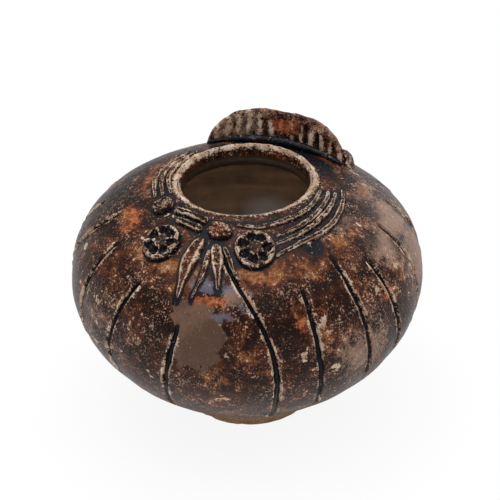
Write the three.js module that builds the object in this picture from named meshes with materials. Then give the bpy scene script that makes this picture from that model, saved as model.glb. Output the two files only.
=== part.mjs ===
// Small squat lime pot of brown-glazed stoneware, in the form of a bird.
// Millimetres, +Z up. The origin is the centre of the foot's underside and the face looks along -Y.
// The thrown pot carries lumps, strips and coils of clay that were luted to its shoulder before firing.
// Azimuths are degrees round the pot from the face, positive towards +X.
import * as THREE from "three";

// Driving sizes of the thrown pot
const BODY_RADIUS = 45;
const BELLY_HEIGHT = 36.4;
const SHOULDER_RISE = 28.9;
const SHOULDER_FULLNESS = 2.41;
const UNDERBODY_DROP = 34.75;
const UNDERBODY_FULLNESS = 1.81;
const WALL = 4.5;
const MOUTH_RADIUS = 16.2;
const LIP_WIDTH = 2.2;
const LIP_ROUNDING = 0.9;
const LIP_DEPTH = 1.9;
const LIP_RISE_BACK = 1.3;
const LIP_DROP_FRONT = 0.8;
const FLOOR_THICKNESS = 5.2;
const LOBE_RISE = 0.3;
const LIP_OUTER_RADIUS = MOUTH_RADIUS + LIP_WIDTH;

// Driving sizes of the foot
const FOOT_RADIUS = 16.8;
const FOOT_HEIGHT = 4.7;
const FOOT_BEVEL = 0.3;

// Room left between two pieces of clay where the luting slip was
const SEAT_GAP = 0.3;

// Incised lines down the body
const GROOVE_WIDTH = 1.5;
const GROOVE_DEPTH = 0.9;
const GROOVE_FADE = 3;

// Applied face. Distances marked OUT are measured in plan from the outer edge of the lip.
const ROSETTE_RADIUS = 5;
const ROSETTE_RIGHT = { scale: 1, nearSide: 13.02, topOut: 5.6 };
const ROSETTE_LEFT = { scale: 0.94, nearSide: -13.28, topOut: 7.8 };
const ROSETTE_STRETCH = 1.08;
const ROSETTE_THICKNESS = 2;
const ROSETTE_PITS = 7;
const PIT_RING_RADIUS = 2.9;
const PIT_RADIUS = 1.2;
const PIT_DEPTH = 1.1;
const BEAK_TOP_OUT = 8.3;
const BEAK_TIP_ABOVE_BELLY = 4.8;
const COIL_WIDTH = 1.3;
const COIL_HEIGHT = 1;

// Crest behind the mouth
const CREST_HALF_CHORD = 20.2;
const CREST_BEND_RADIUS = 60;
const CREST_OUT = 7.8;
const CREST_TURN = -3;
const CREST_OFFSET = -0.4;
const CREST_THICKNESS = 4.4;
const CREST_TOP_THICKNESS = 3;
const CREST_HEIGHT = 9.8;
const CREST_DIP = 0.4;
const CREST_LEFT_END = { reach: 1, blunt: 3.2, taper: 0.7 };
const CREST_RIGHT_END = { reach: 0.93, blunt: 3.7, taper: 0.5 };
const CREST_NUB_HEIGHT = 4.2;
const CREST_NUB_AT = 18.2;
const CREST_NUB_REACH = 4;
const FLUTES = 14;
const FLUTE_DEPTH = 0.7;
const ROOT_COIL_RADIUS = 1.35;

const radians = THREE.MathUtils.degToRad;
const { lerp, smoothstep } = THREE.MathUtils;

const glaze = new THREE.MeshStandardMaterial({ color: 0x4a2d1c, roughness: 0.35, metalness: 0 });
const thinGlaze = new THREE.MeshStandardMaterial({ color: 0x6b4a31, roughness: 0.45, metalness: 0 });
const bareClay = new THREE.MeshStandardMaterial({ color: 0x9a7a4c, roughness: 0.85, metalness: 0 });

// Each line: azimuth at its upper end, azimuth at its lower end, upper and lower height, bow.
// A bow over 1 keeps the line near its lower azimuth and swings it over late.
const FRONT_LINES = [
  { top: -57, bottom: -76, high: 60.5, low: 36, bow: 1 },
  { top: -42, bottom: -52, high: 58, low: 28, bow: 1 },
  { top: -20.5, bottom: -33, high: 54.5, low: 22, bow: 1.8 },
  { top: -3, bottom: -13, high: 48, low: 16, bow: 1 },
  { top: 5.4, bottom: 28.1, high: 61.4, low: 12, bow: 4.7 },
  { top: 38.5, bottom: 44.5, high: 55, low: 18, bow: 1 },
  { top: 54.5, bottom: 63, high: 58.5, low: 24, bow: 1 },
  { top: 68.5, bottom: 78, high: 56, low: 26, bow: 1 },
  { top: 88, bottom: 94, high: 58.5, low: 24, bow: 1 },
  { top: 109, bottom: 115, high: 57.5, low: 24, bow: 1 },
];
const BACK_LINES = 9;
const BACK_LINE_HIGH = 57;
const BACK_LINE_LOW = 24;

// The lines that go on round the back, evenly spread between the last and the first of the front ones.
function backLines() {
  const last = FRONT_LINES.at(-1);
  const first = FRONT_LINES[0];
  return Array.from({ length: BACK_LINES }, (_, index) => {
    const share = (index + 1) / (BACK_LINES + 1);
    return {
      top: lerp(last.top, first.top + 360, share),
      bottom: lerp(last.bottom, first.bottom + 360, share),
      high: BACK_LINE_HIGH,
      low: BACK_LINE_LOW,
      bow: 1,
    };
  });
}

const LINES = [...FRONT_LINES, ...backLines()];

function lineAzimuth(line, z) {
  const share = THREE.MathUtils.clamp((z - line.low) / (line.high - line.low), 0, 1);
  return lerp(line.bottom, line.top, share ** line.bow);
}

function lineDepth(line, z) {
  const fadeIn = smoothstep(z, line.low, line.low + GROOVE_FADE);
  return GROOVE_DEPTH * fadeIn * (1 - smoothstep(z, line.high - GROOVE_FADE, line.high));
}

// Profile of the thrown pot: two superellipse quarters that meet at the belly.
function shoulderHeight(radius) {
  const share = Math.min(1, radius / BODY_RADIUS);
  const rise = (1 - share ** SHOULDER_FULLNESS) ** (1 / SHOULDER_FULLNESS);
  return BELLY_HEIGHT + SHOULDER_RISE * rise;
}

function quarter(fromRadius, toRadius, maxRadius, rise, fullness, count) {
  const angleAt = (radius) => Math.acos((radius / maxRadius) ** (fullness / 2));
  const from = angleAt(fromRadius);
  const to = angleAt(toRadius);
  return Array.from({ length: count + 1 }, (_, index) => {
    const angle = lerp(from, to, index / count);
    return {
      radius: maxRadius * Math.cos(angle) ** (2 / fullness),
      z: BELLY_HEIGHT + rise * Math.sin(angle) ** (2 / fullness),
    };
  });
}

function pointAt(azimuth, radius, z) {
  const angle = radians(azimuth);
  return new THREE.Vector3(radius * Math.sin(angle), -radius * Math.cos(angle), z);
}

// A point of the shoulder above plan position x, y, raised by lift along the shoulder's normal.
function onShoulder(x, y, lift = 0) {
  const step = 0.05;
  const radius = Math.max(Math.hypot(x, y), step);
  const slope = (shoulderHeight(radius + step) - shoulderHeight(radius - step)) / (2 * step);
  const normal = new THREE.Vector3((-slope * x) / radius, (-slope * y) / radius, 1).normalize();
  return new THREE.Vector3(x, y, shoulderHeight(radius)).addScaledVector(normal, lift);
}

// Skins a row of equal loops of points. An open row gets a fan at each end.
function loft(loops) {
  const count = loops[0].length;
  const points = loops.flat();
  const faces = [];
  for (let row = 0; row + 1 < loops.length; row += 1) {
    for (let column = 0; column < count; column += 1) {
      const next = (column + 1) % count;
      const [a, b] = [row * count + column, row * count + next];
      const [c, d] = [b + count, a + count];
      faces.push(a, b, c, a, c, d);
    }
  }
  for (const [row, inward] of [[0, true], [loops.length - 1, false]]) {
    const hub = points.length;
    const middle = loops[row].reduce((sum, p) => sum.add(p), new THREE.Vector3());
    points.push(middle.divideScalar(count));
    for (let column = 0; column < count; column += 1) {
      const a = row * count + column;
      const b = row * count + ((column + 1) % count);
      faces.push(...(inward ? [hub, b, a] : [hub, a, b]));
    }
  }
  return outwardGeometry(points, faces);
}

// Builds the geometry with its faces pointing out, whichever way the loops ran.
function outwardGeometry(points, faces) {
  let volume = 0;
  for (let i = 0; i < faces.length; i += 3) {
    const [a, b, c] = [points[faces[i]], points[faces[i + 1]], points[faces[i + 2]]];
    volume += a.dot(b.clone().cross(c));
  }
  const geometry = new THREE.BufferGeometry().setFromPoints(points);
  geometry.setIndex(volume < 0 ? faces.slice().reverse() : faces);
  geometry.computeVertexNormals();
  return geometry;
}

const pot = new THREE.Group();

function addPiece(name, geometry, material) {
  const mesh = new THREE.Mesh(geometry, material);
  mesh.name = name;
  pot.add(mesh);
  return mesh;
}

// The thrown wall, floor and lip, with the incised lines cut into the outside.
function bodyGeometry() {
  const landColumns = 2;
  const bodyBase = FOOT_HEIGHT + SEAT_GAP;
  const lipTop = shoulderHeight(LIP_OUTER_RADIUS - LIP_ROUNDING);
  const outside = [
    ...quarter(FOOT_RADIUS, BODY_RADIUS, BODY_RADIUS, -UNDERBODY_DROP, UNDERBODY_FULLNESS, 8),
    ...quarter(BODY_RADIUS, LIP_OUTER_RADIUS, BODY_RADIUS, SHOULDER_RISE, SHOULDER_FULLNESS, 12).slice(1),
  ];
  outside[0].z = bodyBase;
  const lip = [
    { radius: LIP_OUTER_RADIUS - LIP_ROUNDING, z: lipTop, lean: 1 },
    { radius: MOUTH_RADIUS + LIP_ROUNDING, z: lipTop - 0.1, lean: 1 },
    { radius: MOUTH_RADIUS + 0.2, z: lipTop - LIP_ROUNDING, lean: 0.6 },
    { radius: MOUTH_RADIUS, z: lipTop - LIP_DEPTH },
  ];
  const innerRadius = BODY_RADIUS - WALL;
  const innerRise = SHOULDER_RISE - WALL;
  const innerDrop = BELLY_HEIGHT - bodyBase - FLOOR_THICKNESS;
  const inside = [
    ...quarter(MOUTH_RADIUS + 0.3, innerRadius, innerRadius, innerRise, SHOULDER_FULLNESS, 5),
    ...quarter(innerRadius, 8, innerRadius, -innerDrop, UNDERBODY_FULLNESS, 5).slice(1),
  ];

  // One loop per profile row: three columns to each line and landColumns to the wall between two lines.
  const loopAt = ({ radius, z, lean = 0 }, cut) => {
    const loop = [];
    const addPoint = (azimuth, reach) => loop.push(pointAt(azimuth, reach, z + lean * lipLean(azimuth)));
    LINES.forEach((line, index) => {
      const following = LINES[(index + 1) % LINES.length];
      const here = lineAzimuth(line, z);
      const turn = index + 1 === LINES.length ? 360 : 0;
      const there = lineAzimuth(following, z) + turn;
      const halfGroove = THREE.MathUtils.radToDeg(GROOVE_WIDTH / 2 / BODY_RADIUS);
      const depth = cut ? lineDepth(line, z) : 0;
      addPoint(here - halfGroove, radius);
      addPoint(here, radius - depth);
      addPoint(here + halfGroove, radius);
      for (let column = 1; column <= landColumns; column += 1) {
        const share = column / (landColumns + 1);
        const swell = cut ? LOBE_RISE * Math.sin(Math.PI * share) * Math.min(1, lobeShare(z)) : 0;
        const azimuth = lerp(here + halfGroove, there - halfGroove, share);
        addPoint(azimuth, radius + swell);
      }
    });
    return loop;
  };
  return loft([
    ...outside.map((row) => loopAt(row, true)),
    ...lip.map((row) => loopAt(row, false)),
    ...inside.map((row) => loopAt(row, false)),
  ]);
}

// The lip was rolled unevenly: it stands higher at the back than at the face.
function lipLean(azimuth) {
  return lerp(-LIP_DROP_FRONT, LIP_RISE_BACK, 0.5 - 0.5 * Math.cos(radians(azimuth)));
}

// The lobes swell most at the belly and die away towards the foot and the shoulder.
function lobeShare(z) {
  return smoothstep(z, 12, 24) * (1 - smoothstep(z, 46, 60));
}

// A flat turned disc, bevelled where the potter trimmed it.
function footGeometry() {
  const profile = [
    [0, 0],
    [FOOT_RADIUS - FOOT_BEVEL, 0],
    [FOOT_RADIUS, FOOT_BEVEL],
    [FOOT_RADIUS + 0.2, FOOT_HEIGHT],
    [0, FOOT_HEIGHT],
  ].map(([radius, z]) => new THREE.Vector2(radius, z));
  return new THREE.LatheGeometry(profile, 48).rotateX(Math.PI / 2);
}

// A strip of clay pressed on along a route of [azimuth, out from the lip], half-round in section.
function stripGeometry(route, { width, height, steps = 16, sides = 5 }) {
  const points = route.map(([azimuth, out]) => pointAt(azimuth, LIP_OUTER_RADIUS + out, 0));
  const curve = new THREE.CatmullRomCurve3(points);
  const loops = [];
  for (let step = 0; step <= steps; step += 1) {
    const share = step / steps;
    const centre = curve.getPointAt(share);
    const along = curve.getTangentAt(share);
    const loop = [];
    for (let side = 0; side <= sides; side += 1) {
      const angle = (Math.PI * side) / sides;
      const across = (width(share) / 2) * Math.cos(angle);
      const lift = SEAT_GAP + height(share) * Math.sin(angle);
      loop.push(onShoulder(centre.x - along.y * across, centre.y + along.x * across, lift));
    }
    loops.push(loop);
  }
  return loft(loops);
}

// A round or oval pad of clay. The height is a function of the share of its radius and of the angle.
function padGeometry({ azimuth, radius, halfWidth, halfLength, turn = 0, height, shares, segments }) {
  const centre = pointAt(azimuth, radius, 0);
  const step = 0.05;
  const fall = (shoulderHeight(radius) - shoulderHeight(radius + step)) / step;
  const foreshorten = Math.cos(Math.atan(fall));
  const loopAt = (share, liftAt) => {
    const loop = [];
    for (let segment = 0; segment < segments; segment += 1) {
      const angle = (2 * Math.PI * segment) / segments;
      const pressed = new THREE.Vector2(
        halfWidth * share * Math.cos(angle),
        halfLength * share * Math.sin(angle),
      ).rotateAround(new THREE.Vector2(), radians(turn));
      const flat = new THREE.Vector2(pressed.x, pressed.y * foreshorten);
      flat.rotateAround(new THREE.Vector2(), radians(azimuth));
      loop.push(onShoulder(centre.x + flat.x, centre.y + flat.y, liftAt(share, angle)));
    }
    return loop;
  };
  const under = [0.5, 1].map((share) => loopAt(share, () => SEAT_GAP));
  const over = shares.map((share) => loopAt(share, (s, angle) => SEAT_GAP + height(s, angle)));
  return loft([...under, ...over]);
}

// A disc with a raised border, a boss and a ring of round pits pressed in with a stick.
function rosetteHeight(share, angle) {
  const reach = share * ROSETTE_RADIUS;
  const border = Math.exp(-(((share - 0.89) / 0.09) ** 2));
  const edge = Math.sqrt(Math.max(0, 1 - share ** 8));
  const pitAngle = (2 * Math.PI) / ROSETTE_PITS;
  const offset = angle - pitAngle * Math.round(angle / pitAngle);
  const toPit = Math.hypot(reach * Math.cos(offset) - PIT_RING_RADIUS, reach * Math.sin(offset));
  const pit = PIT_DEPTH * Math.max(0, 1 - (toPit / PIT_RADIUS) ** 2);
  return Math.max(0.25, (ROSETTE_THICKNESS - 0.5) * edge + 0.5 * border - pit);
}

// Centre of a rosette. Its side nearest the beak and its top stay put when its size changes.
function rosettePlace({ scale, nearSide, topOut }) {
  const radius = LIP_OUTER_RADIUS + topOut + ROSETTE_RADIUS * scale;
  const halfAngle = THREE.MathUtils.radToDeg((ROSETTE_RADIUS * scale) / radius);
  return { azimuth: nearSide + Math.sign(nearSide) * halfAngle, radius };
}

// A place [azimuth, out] beside the right rosette: so far from its edge, in a direction round its centre.
function besideRosette(direction, clearance) {
  const centre = rosettePlace(ROSETTE_RIGHT);
  const reach = ROSETTE_RADIUS + clearance;
  const radius = centre.radius + reach * Math.sin(radians(direction));
  const across = (reach * Math.cos(radians(direction))) / radius;
  return [centre.azimuth + THREE.MathUtils.radToDeg(across), radius - LIP_OUTER_RADIUS];
}

function addRosette(name, { scale, nearSide, topOut }) {
  const shares = [0.98, 0.9, 0.82, 0.72, 0.6, 0.5, 0.38, 0.2];
  const shape = {
    ...rosettePlace({ scale, nearSide, topOut }),
    halfWidth: ROSETTE_RADIUS * scale,
    halfLength: ROSETTE_RADIUS * scale * ROSETTE_STRETCH,
    height: rosetteHeight,
    shares,
    segments: 6 * ROSETTE_PITS,
  };
  addPiece(name, padGeometry(shape), thinGlaze);
}

const domed = (peak) => (share) => peak * Math.sqrt(Math.max(0.02, 1 - share ** 2.4));
const DOME_SHARES = [0.97, 0.88, 0.72, 0.5, 0.25];

// Slab that stands behind the mouth, bent round it, with upright flutes on the side towards the mouth.
// Its top line falls away on both sides of a slight dip, and towards +X it ends in a low rounded nub.
function crestOutline(along) {
  const { reach, blunt, taper } = along < 0 ? CREST_LEFT_END : CREST_RIGHT_END;
  const slab = CREST_HEIGHT * Math.max(0, 1 - Math.abs(along / reach) ** blunt) ** taper;
  const dip = CREST_DIP * Math.exp(-(((along - 0.12) / 0.2) ** 2));
  const fromNub = Math.abs(along * CREST_HALF_CHORD - CREST_NUB_AT) / CREST_NUB_REACH;
  const nub = CREST_NUB_HEIGHT * Math.sqrt(Math.max(0, 1 - fromNub ** 3));
  return Math.max(slab - dip, nub);
}

function crestPoint(along, across, lift) {
  const swing = (along * CREST_HALF_CHORD + CREST_OFFSET) / CREST_BEND_RADIUS;
  const reach = CREST_BEND_RADIUS + across;
  const plan = new THREE.Vector2(
    reach * Math.sin(swing),
    LIP_OUTER_RADIUS + CREST_OUT - CREST_BEND_RADIUS + reach * Math.cos(swing),
  ).rotateAround(new THREE.Vector2(), radians(CREST_TURN));
  const foot = onShoulder(plan.x, plan.y, SEAT_GAP);
  return foot.setZ(foot.z + lift);
}

function crestGeometry() {
  const columns = 4 * FLUTES;
  const levels = [0, 0.12, 0.3, 0.5, 0.68, 0.84];
  const loops = [];
  for (let column = 0; column <= columns; column += 1) {
    const along = lerp(-0.985, 1.08, column / columns);
    const tall = crestOutline(along);
    const wave = 0.5 - 0.5 * Math.cos((2 * Math.PI * FLUTES * column) / columns);
    const half = (level) => lerp(CREST_THICKNESS, CREST_TOP_THICKNESS, level) / 2;
    const front = levels.map((level) => {
      const flute = FLUTE_DEPTH * wave * smoothstep(level, 0.05, 0.15) * (1 - smoothstep(level, 0.6, 0.8));
      return crestPoint(along, flute - half(level), tall * level);
    });
    const back = levels.map((level) => crestPoint(along, half(level), tall * level)).reverse();
    const ridge = [-0.6, 0, 0.6].map((lean) => {
      const drop = 0.09 * lean * lean;
      return crestPoint(along, lean * half(1), tall * (1 - drop));
    });
    loops.push([...front, ...ridge, ...back]);
  }
  return loft(loops);
}

// Roll of clay worked into the corner between the crest and the shoulder, on the side towards the mouth.
function rootCoilGeometry() {
  const steps = 28;
  const sides = 8;
  const loops = [];
  for (let step = 0; step <= steps; step += 1) {
    const share = step / steps;
    const along = lerp(-0.97, 0.99, share);
    const taper = Math.sqrt(Math.max(0.12, Math.sin(Math.PI * lerp(0.06, 0.94, share))));
    const radius = ROOT_COIL_RADIUS * taper;
    const across = -CREST_THICKNESS / 2 - SEAT_GAP - radius;
    const loop = [];
    for (let side = 0; side < sides; side += 1) {
      const angle = (2 * Math.PI * side) / sides;
      const lift = radius * (1 + Math.sin(angle));
      loop.push(crestPoint(along, across + radius * Math.cos(angle), lift));
    }
    loops.push(loop);
  }
  return loft(loops);
}

// Coils laid round the mouth like a folded wing, from behind each rosette towards the crest.
// Routes of [azimuth, out from the lip]. Three of them start beside the right rosette.
const WING_COILS = {
  right: [
    [[13, 3.3], [29, 4.2], [49, 3.4], [69, 2.5], [92, 1.2]],
    [besideRosette(-24.4, 2.5), [51, 6.4], [66, 5.1], [83, 3.8], [94, 3]],
    [besideRosette(-8.9, 1.48), [48, 8.5], [61, 7.2], [77, 5.9], [96, 4.8]],
    [besideRosette(19.2, 1.08), [45, 10.9], [58.5, 10.1], [72, 9], [88, 7.3], [101, 6.2]],
  ],
  left: [
    [[-54, 1], [-78, 0.9], [-102, 0.8], [-124, 1]],
    [[-55, 3], [-76, 2.6], [-98, 2.5], [-126, 2.8]],
    [[-57, 4.8], [-77, 4.4], [-98, 4.2], [-122, 4.6]],
  ],
};

function addWing(side) {
  WING_COILS[side].forEach((route, index) => {
    const taper = (share) => Math.sqrt(Math.max(0.1, Math.sin(Math.PI * lerp(0.05, 0.97, share))));
    const geometry = stripGeometry(route, {
      width: (share) => COIL_WIDTH * taper(share),
      height: (share) => COIL_HEIGHT * taper(share),
      steps: 20,
      sides: 5,
    });
    addPiece(`wing_coil_${side}_${index + 1}`, geometry, thinGlaze);
  });
}

// A leaf of clay: narrow at its root, widest at a share of its length, drawn out to a tip.
function leaf(widest, at, tip) {
  return (share) => {
    const swell = share < at ? Math.sin((Math.PI / 2) * lerp(0.35, 1, share / at)) : 1;
    const narrowing = share > at ? 1 - smoothstep(share, at, 1.05) : 1;
    return Math.max(tip, widest * swell * narrowing);
  };
}

function addLeaf(name, route, width, height) {
  addPiece(name, stripGeometry(route, { width, height, steps: 14, sides: 6 }), thinGlaze);
}

addPiece("pot_body", bodyGeometry(), glaze);
addPiece("foot_disc", footGeometry(), bareClay);

addPiece("tail_crest", crestGeometry(), thinGlaze);
addPiece("crest_root_coil", rootCoilGeometry(), glaze);

addRosette("rosette_right", ROSETTE_RIGHT);
addRosette("rosette_left", ROSETTE_LEFT);

addPiece(
  "forehead_knot",
  padGeometry({
    azimuth: 3.5,
    radius: LIP_OUTER_RADIUS + 5.7,
    halfWidth: 3.3,
    halfLength: 2.6,
    turn: -20,
    height: domed(2.2),
    shares: DOME_SHARES,
    segments: 20,
  }),
  thinGlaze,
);
addPiece(
  "ear_tuft_left",
  padGeometry({
    azimuth: -43,
    radius: LIP_OUTER_RADIUS + 4.6,
    halfWidth: 2.7,
    halfLength: 3,
    turn: 15,
    height: domed(2),
    shares: DOME_SHARES,
    segments: 20,
  }),
  thinGlaze,
);

const brow = [() => 1.7, () => 1.3];
addLeaf("brow_strip_upper", [[-33, 3.7], [-24, 2.8], [-15, 2.8], [-6.4, 3.5]], ...brow);
addLeaf("brow_strip_lower", [[-25.4, 5.6], [-15, 5.7], [-6.6, 6.2]], ...brow);

// The beak's leaves run down from its top to its tip. Their places are [azimuth, share of that way].
const BEAK = {
  beak_leaf_left: {
    route: [[-4, 0], [-5, 0.244], [-5.6, 0.578], [-5.5, 1]],
    width: leaf(3.3, 0.45, 0.9),
    height: leaf(1.6, 0.4, 0.6),
  },
  beak_rib: {
    route: [[1.6, 0.207], [1.8, 0.393], [1.8, 0.652], [-0.5, 0.985]],
    width: leaf(1.2, 0.4, 0.6),
    height: leaf(1.1, 0.4, 0.5),
  },
  beak_leaf_centre: {
    route: [[3.4, 0.089], [6.4, 0.356], [7.4, 0.578], [8.4, 0.837]],
    width: leaf(2.5, 0.5, 0.8),
    height: leaf(1.5, 0.5, 0.6),
  },
  beak_leaf_right: {
    route: [[8, 0.119], [11, 0.326], [14.4, 0.637]],
    width: leaf(1.2, 0.5, 0.6),
    height: leaf(1.1, 0.5, 0.5),
  },
};
const beakLength = BODY_RADIUS - BEAK_TIP_ABOVE_BELLY - LIP_OUTER_RADIUS - BEAK_TOP_OUT;
for (const [name, { route, width, height }] of Object.entries(BEAK)) {
  const places = route.map(([azimuth, share]) => [azimuth, BEAK_TOP_OUT + share * beakLength]);
  addLeaf(name, places, width, height);
}

addWing("right");
addWing("left");

export default pot;
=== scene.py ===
"""Small lime pot of brown-glazed stoneware in the form of a bird.

The thrown pot, its foot and the lumps and strips luted to its shoulder each stand for one node of the frame.
Lengths in the code are millimetres and angles are degrees round the pot from its face, positive towards +X.
"""

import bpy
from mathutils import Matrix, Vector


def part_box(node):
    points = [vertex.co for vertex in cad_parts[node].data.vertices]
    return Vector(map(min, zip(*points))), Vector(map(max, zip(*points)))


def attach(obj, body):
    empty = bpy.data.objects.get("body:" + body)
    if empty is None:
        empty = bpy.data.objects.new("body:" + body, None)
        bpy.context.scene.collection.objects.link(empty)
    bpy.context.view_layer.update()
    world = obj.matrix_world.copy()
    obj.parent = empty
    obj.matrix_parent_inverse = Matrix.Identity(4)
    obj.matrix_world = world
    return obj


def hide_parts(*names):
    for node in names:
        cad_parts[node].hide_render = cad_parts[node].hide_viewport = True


bl_info = {
    "name": "Bird lime pot",
    "version": (1, 0, 0),
    "blender": (4, 5, 0),
    "location": "3D View > Sidebar > Lime Pot",
    "description": "Builds a brown-glazed lime pot with a luted face, wings and crest",
    "category": "Add Mesh",
}

from math import cos, degrees, pi, radians, sin

import bpy
import numpy as np
from bpy.props import FloatProperty, FloatVectorProperty, IntProperty, PointerProperty
from mathutils import Matrix, Vector, noise

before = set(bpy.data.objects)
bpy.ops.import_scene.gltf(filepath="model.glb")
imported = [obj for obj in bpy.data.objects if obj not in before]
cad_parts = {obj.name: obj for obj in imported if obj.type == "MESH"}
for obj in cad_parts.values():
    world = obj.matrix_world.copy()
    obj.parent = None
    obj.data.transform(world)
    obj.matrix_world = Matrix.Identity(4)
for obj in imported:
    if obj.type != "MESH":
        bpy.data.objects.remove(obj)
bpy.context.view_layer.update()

MM = 0.001

# The thrown pot, as in the frame
BODY_RADIUS = 45.0
BELLY_HEIGHT = 36.4
SHOULDER_RISE = 28.9
SHOULDER_FULLNESS = 2.41
UNDERBODY_DROP = 34.75
UNDERBODY_FULLNESS = 1.81
WALL = 4.5
MOUTH_RADIUS = 16.2
LIP_RADIUS = 18.4
LIP_RISE_BACK = 1.3
LIP_DROP_FRONT = 0.8
FLOOR_RADIUS = 5.0
FLOOR_THICKNESS = 5.2
FOOT_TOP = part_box("foot_disc")[1].z / MM
FOOT_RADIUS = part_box("foot_disc")[1].x / MM - 0.2

# Rings of the profile up to the lip and over it, the places of its two rolls along the rings, columns
# gathered at each side of a line, and their spacing
OUTSIDE_RINGS = 25
LIP_RINGS = 5
OUTER_ROLL, INNER_ROLL = 25.2, 27.5
GATHERED_COLUMNS = 7
GATHERED_PITCH = 0.23

# Incised lines: azimuth at the upper end, azimuth at the lower end, upper height, lower height, bow
FRONT_LINES = [
    (-57, -76, 60.5, 36, 1),
    (-42, -52, 58, 28, 1),
    (-20.5, -33, 54.5, 22, 1.8),
    (-3, -13, 48, 16, 1),
    (5.4, 28.1, 61.4, 12, 4.7),
    (38.5, 44.5, 55, 18, 1),
    (54.5, 63, 58.5, 24, 1),
    (68.5, 78, 56, 26, 1),
    (88, 94, 58.5, 24, 1),
    (109, 115, 57.5, 24, 1),
]
BACK_LINES = 9
BACK_LINE = (57, 24, 1)
LINE_FADE = 3.0

# Dark channel round the lip, as azimuth and radius
CHANNEL = [
    (-180, 19.4), (-60, 18.7), (-45, 19.4), (-10, 20.6), (13, 20.9), (29, 21.2),
    (49, 20.6), (69, 19.7), (92, 18.7), (120, 19.0), (180, 19.4),
]

# A hollow and the scrap of clay in it, beside the end of a line: azimuth, radius, size
HOLLOW = (50.3, 31.0, 2.5)
SCRAP = (49.3, 29.6, 1.1)

# Chips in the edge of the foot: azimuth, half width in degrees, depth
FOOT_CHIPS = [(82, 8, 1.6), (-20, 5, 0.4), (12, 3, 0.3), (150, 8, 0.8), (-120, 6, 0.6)]
FOOT_INSETS = (0.4, 0.64, 1.28, 2.4, 3.6)

# Strips of clay: routes of azimuth and radius over the shoulder, width, height and share at the widest place
COIL_WIDTH = 1.3
COIL_HEIGHT = 1.0
STRIPS = {
    "brow_strip_upper": ([(-33, 22.1), (-24, 21.2), (-15, 21.2), (-6.4, 21.9)], 1.8, 1.3, None),
    "brow_strip_lower": ([(-25.4, 24), (-15, 24.1), (-6.6, 24.6)], 1.7, 1.3, None),
    "beak_leaf_left": ([(-4, 26.7), (-5, 30), (-5.6, 34.5), (-5.5, 40.2)], 3.7, 1.6, 0.45),
    "beak_rib": ([(1.6, 29.5), (1.8, 32), (1.8, 35.5), (-0.5, 40)], 1.2, 1.1, 0.4),
    "beak_leaf_centre": ([(3.4, 27.9), (6.4, 31.5), (7.4, 34.5), (8.4, 38)], 3.0, 1.5, 0.42),
    "beak_leaf_right": ([(8, 28.3), (11, 31.1), (14.4, 35.3)], 1.2, 1.1, 0.5),
}
WING_COILS = {
    "wing_coil_right_1": [(13, 21.7), (29, 22.6), (49, 21.8), (69, 20.9), (92, 19.6)],
    "wing_coil_right_2": [(35, 26.1), (51, 24.8), (66, 23.5), (83, 22.2), (94, 21.4)],
    "wing_coil_right_3": [(33.5, 28.2), (48, 26.9), (61, 25.6), (77, 24.3), (96, 23.2)],
    "wing_coil_right_4": [(32, 31.2), (45, 29.3), (58.5, 28.5), (72, 27.4), (88, 25.7), (101, 24.6)],
    "wing_coil_left_1": [(-54, 19.4), (-78, 19.3), (-102, 19.2), (-124, 19.4)],
    "wing_coil_left_2": [(-55, 21.4), (-76, 21), (-98, 20.9), (-126, 21.2)],
    "wing_coil_left_3": [(-57, 23.2), (-77, 22.8), (-98, 22.6), (-122, 23)],
}

# Pads of clay: azimuth, radius, half width, half length, turn, and for a lump its height
ROSETTES = {
    "rosette_right": (22.9, 29, 5.0, 5.4, 0),
    "rosette_left": (-22, 30.9, 4.7, 5.08, 14),
}
LUMPS = {
    "forehead_knot": (3.5, 24.1, 3.3, 2.6, -20, 2.2),
    "ear_tuft_left": (-43, 23, 2.7, 3.0, 15, 2.0),
}

# Crest behind the mouth. Places along it count from -1 at its left end to 1 at its right end
CREST_HALF_CHORD = 20.2
CREST_BEND_RADIUS = 60.0
CREST_DISTANCE = 26.2
CREST_TURN = -3.0
CREST_OFFSET = -0.4
CREST_THICKNESS = 4.4
CREST_TOP_THICKNESS = 3.0
CREST_HEIGHT = 9.8
CREST_DIP = 0.4
CREST_LEFT_END = (1.0, 3.2, 0.7)
CREST_RIGHT_END = (0.93, 3.7, 0.5)
CREST_NUB_HEIGHT = 4.2
CREST_NUB_AT = 18.2
CREST_NUB_REACH = 4.0
CREST_FROM, CREST_SPAN, CREST_LENGTH = -0.995, 2.085, 41.5
FLUTES = 14
FLUTES_FROM, FLUTES_SPAN = -0.985, 2.065
ROOT_COIL_RADIUS = 1.35
ROOT_COIL_FROM, ROOT_COIL_SPAN, ROOT_COIL_LENGTH = -0.98, 1.98, 40
END_ROUNDING = 1.4

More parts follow.
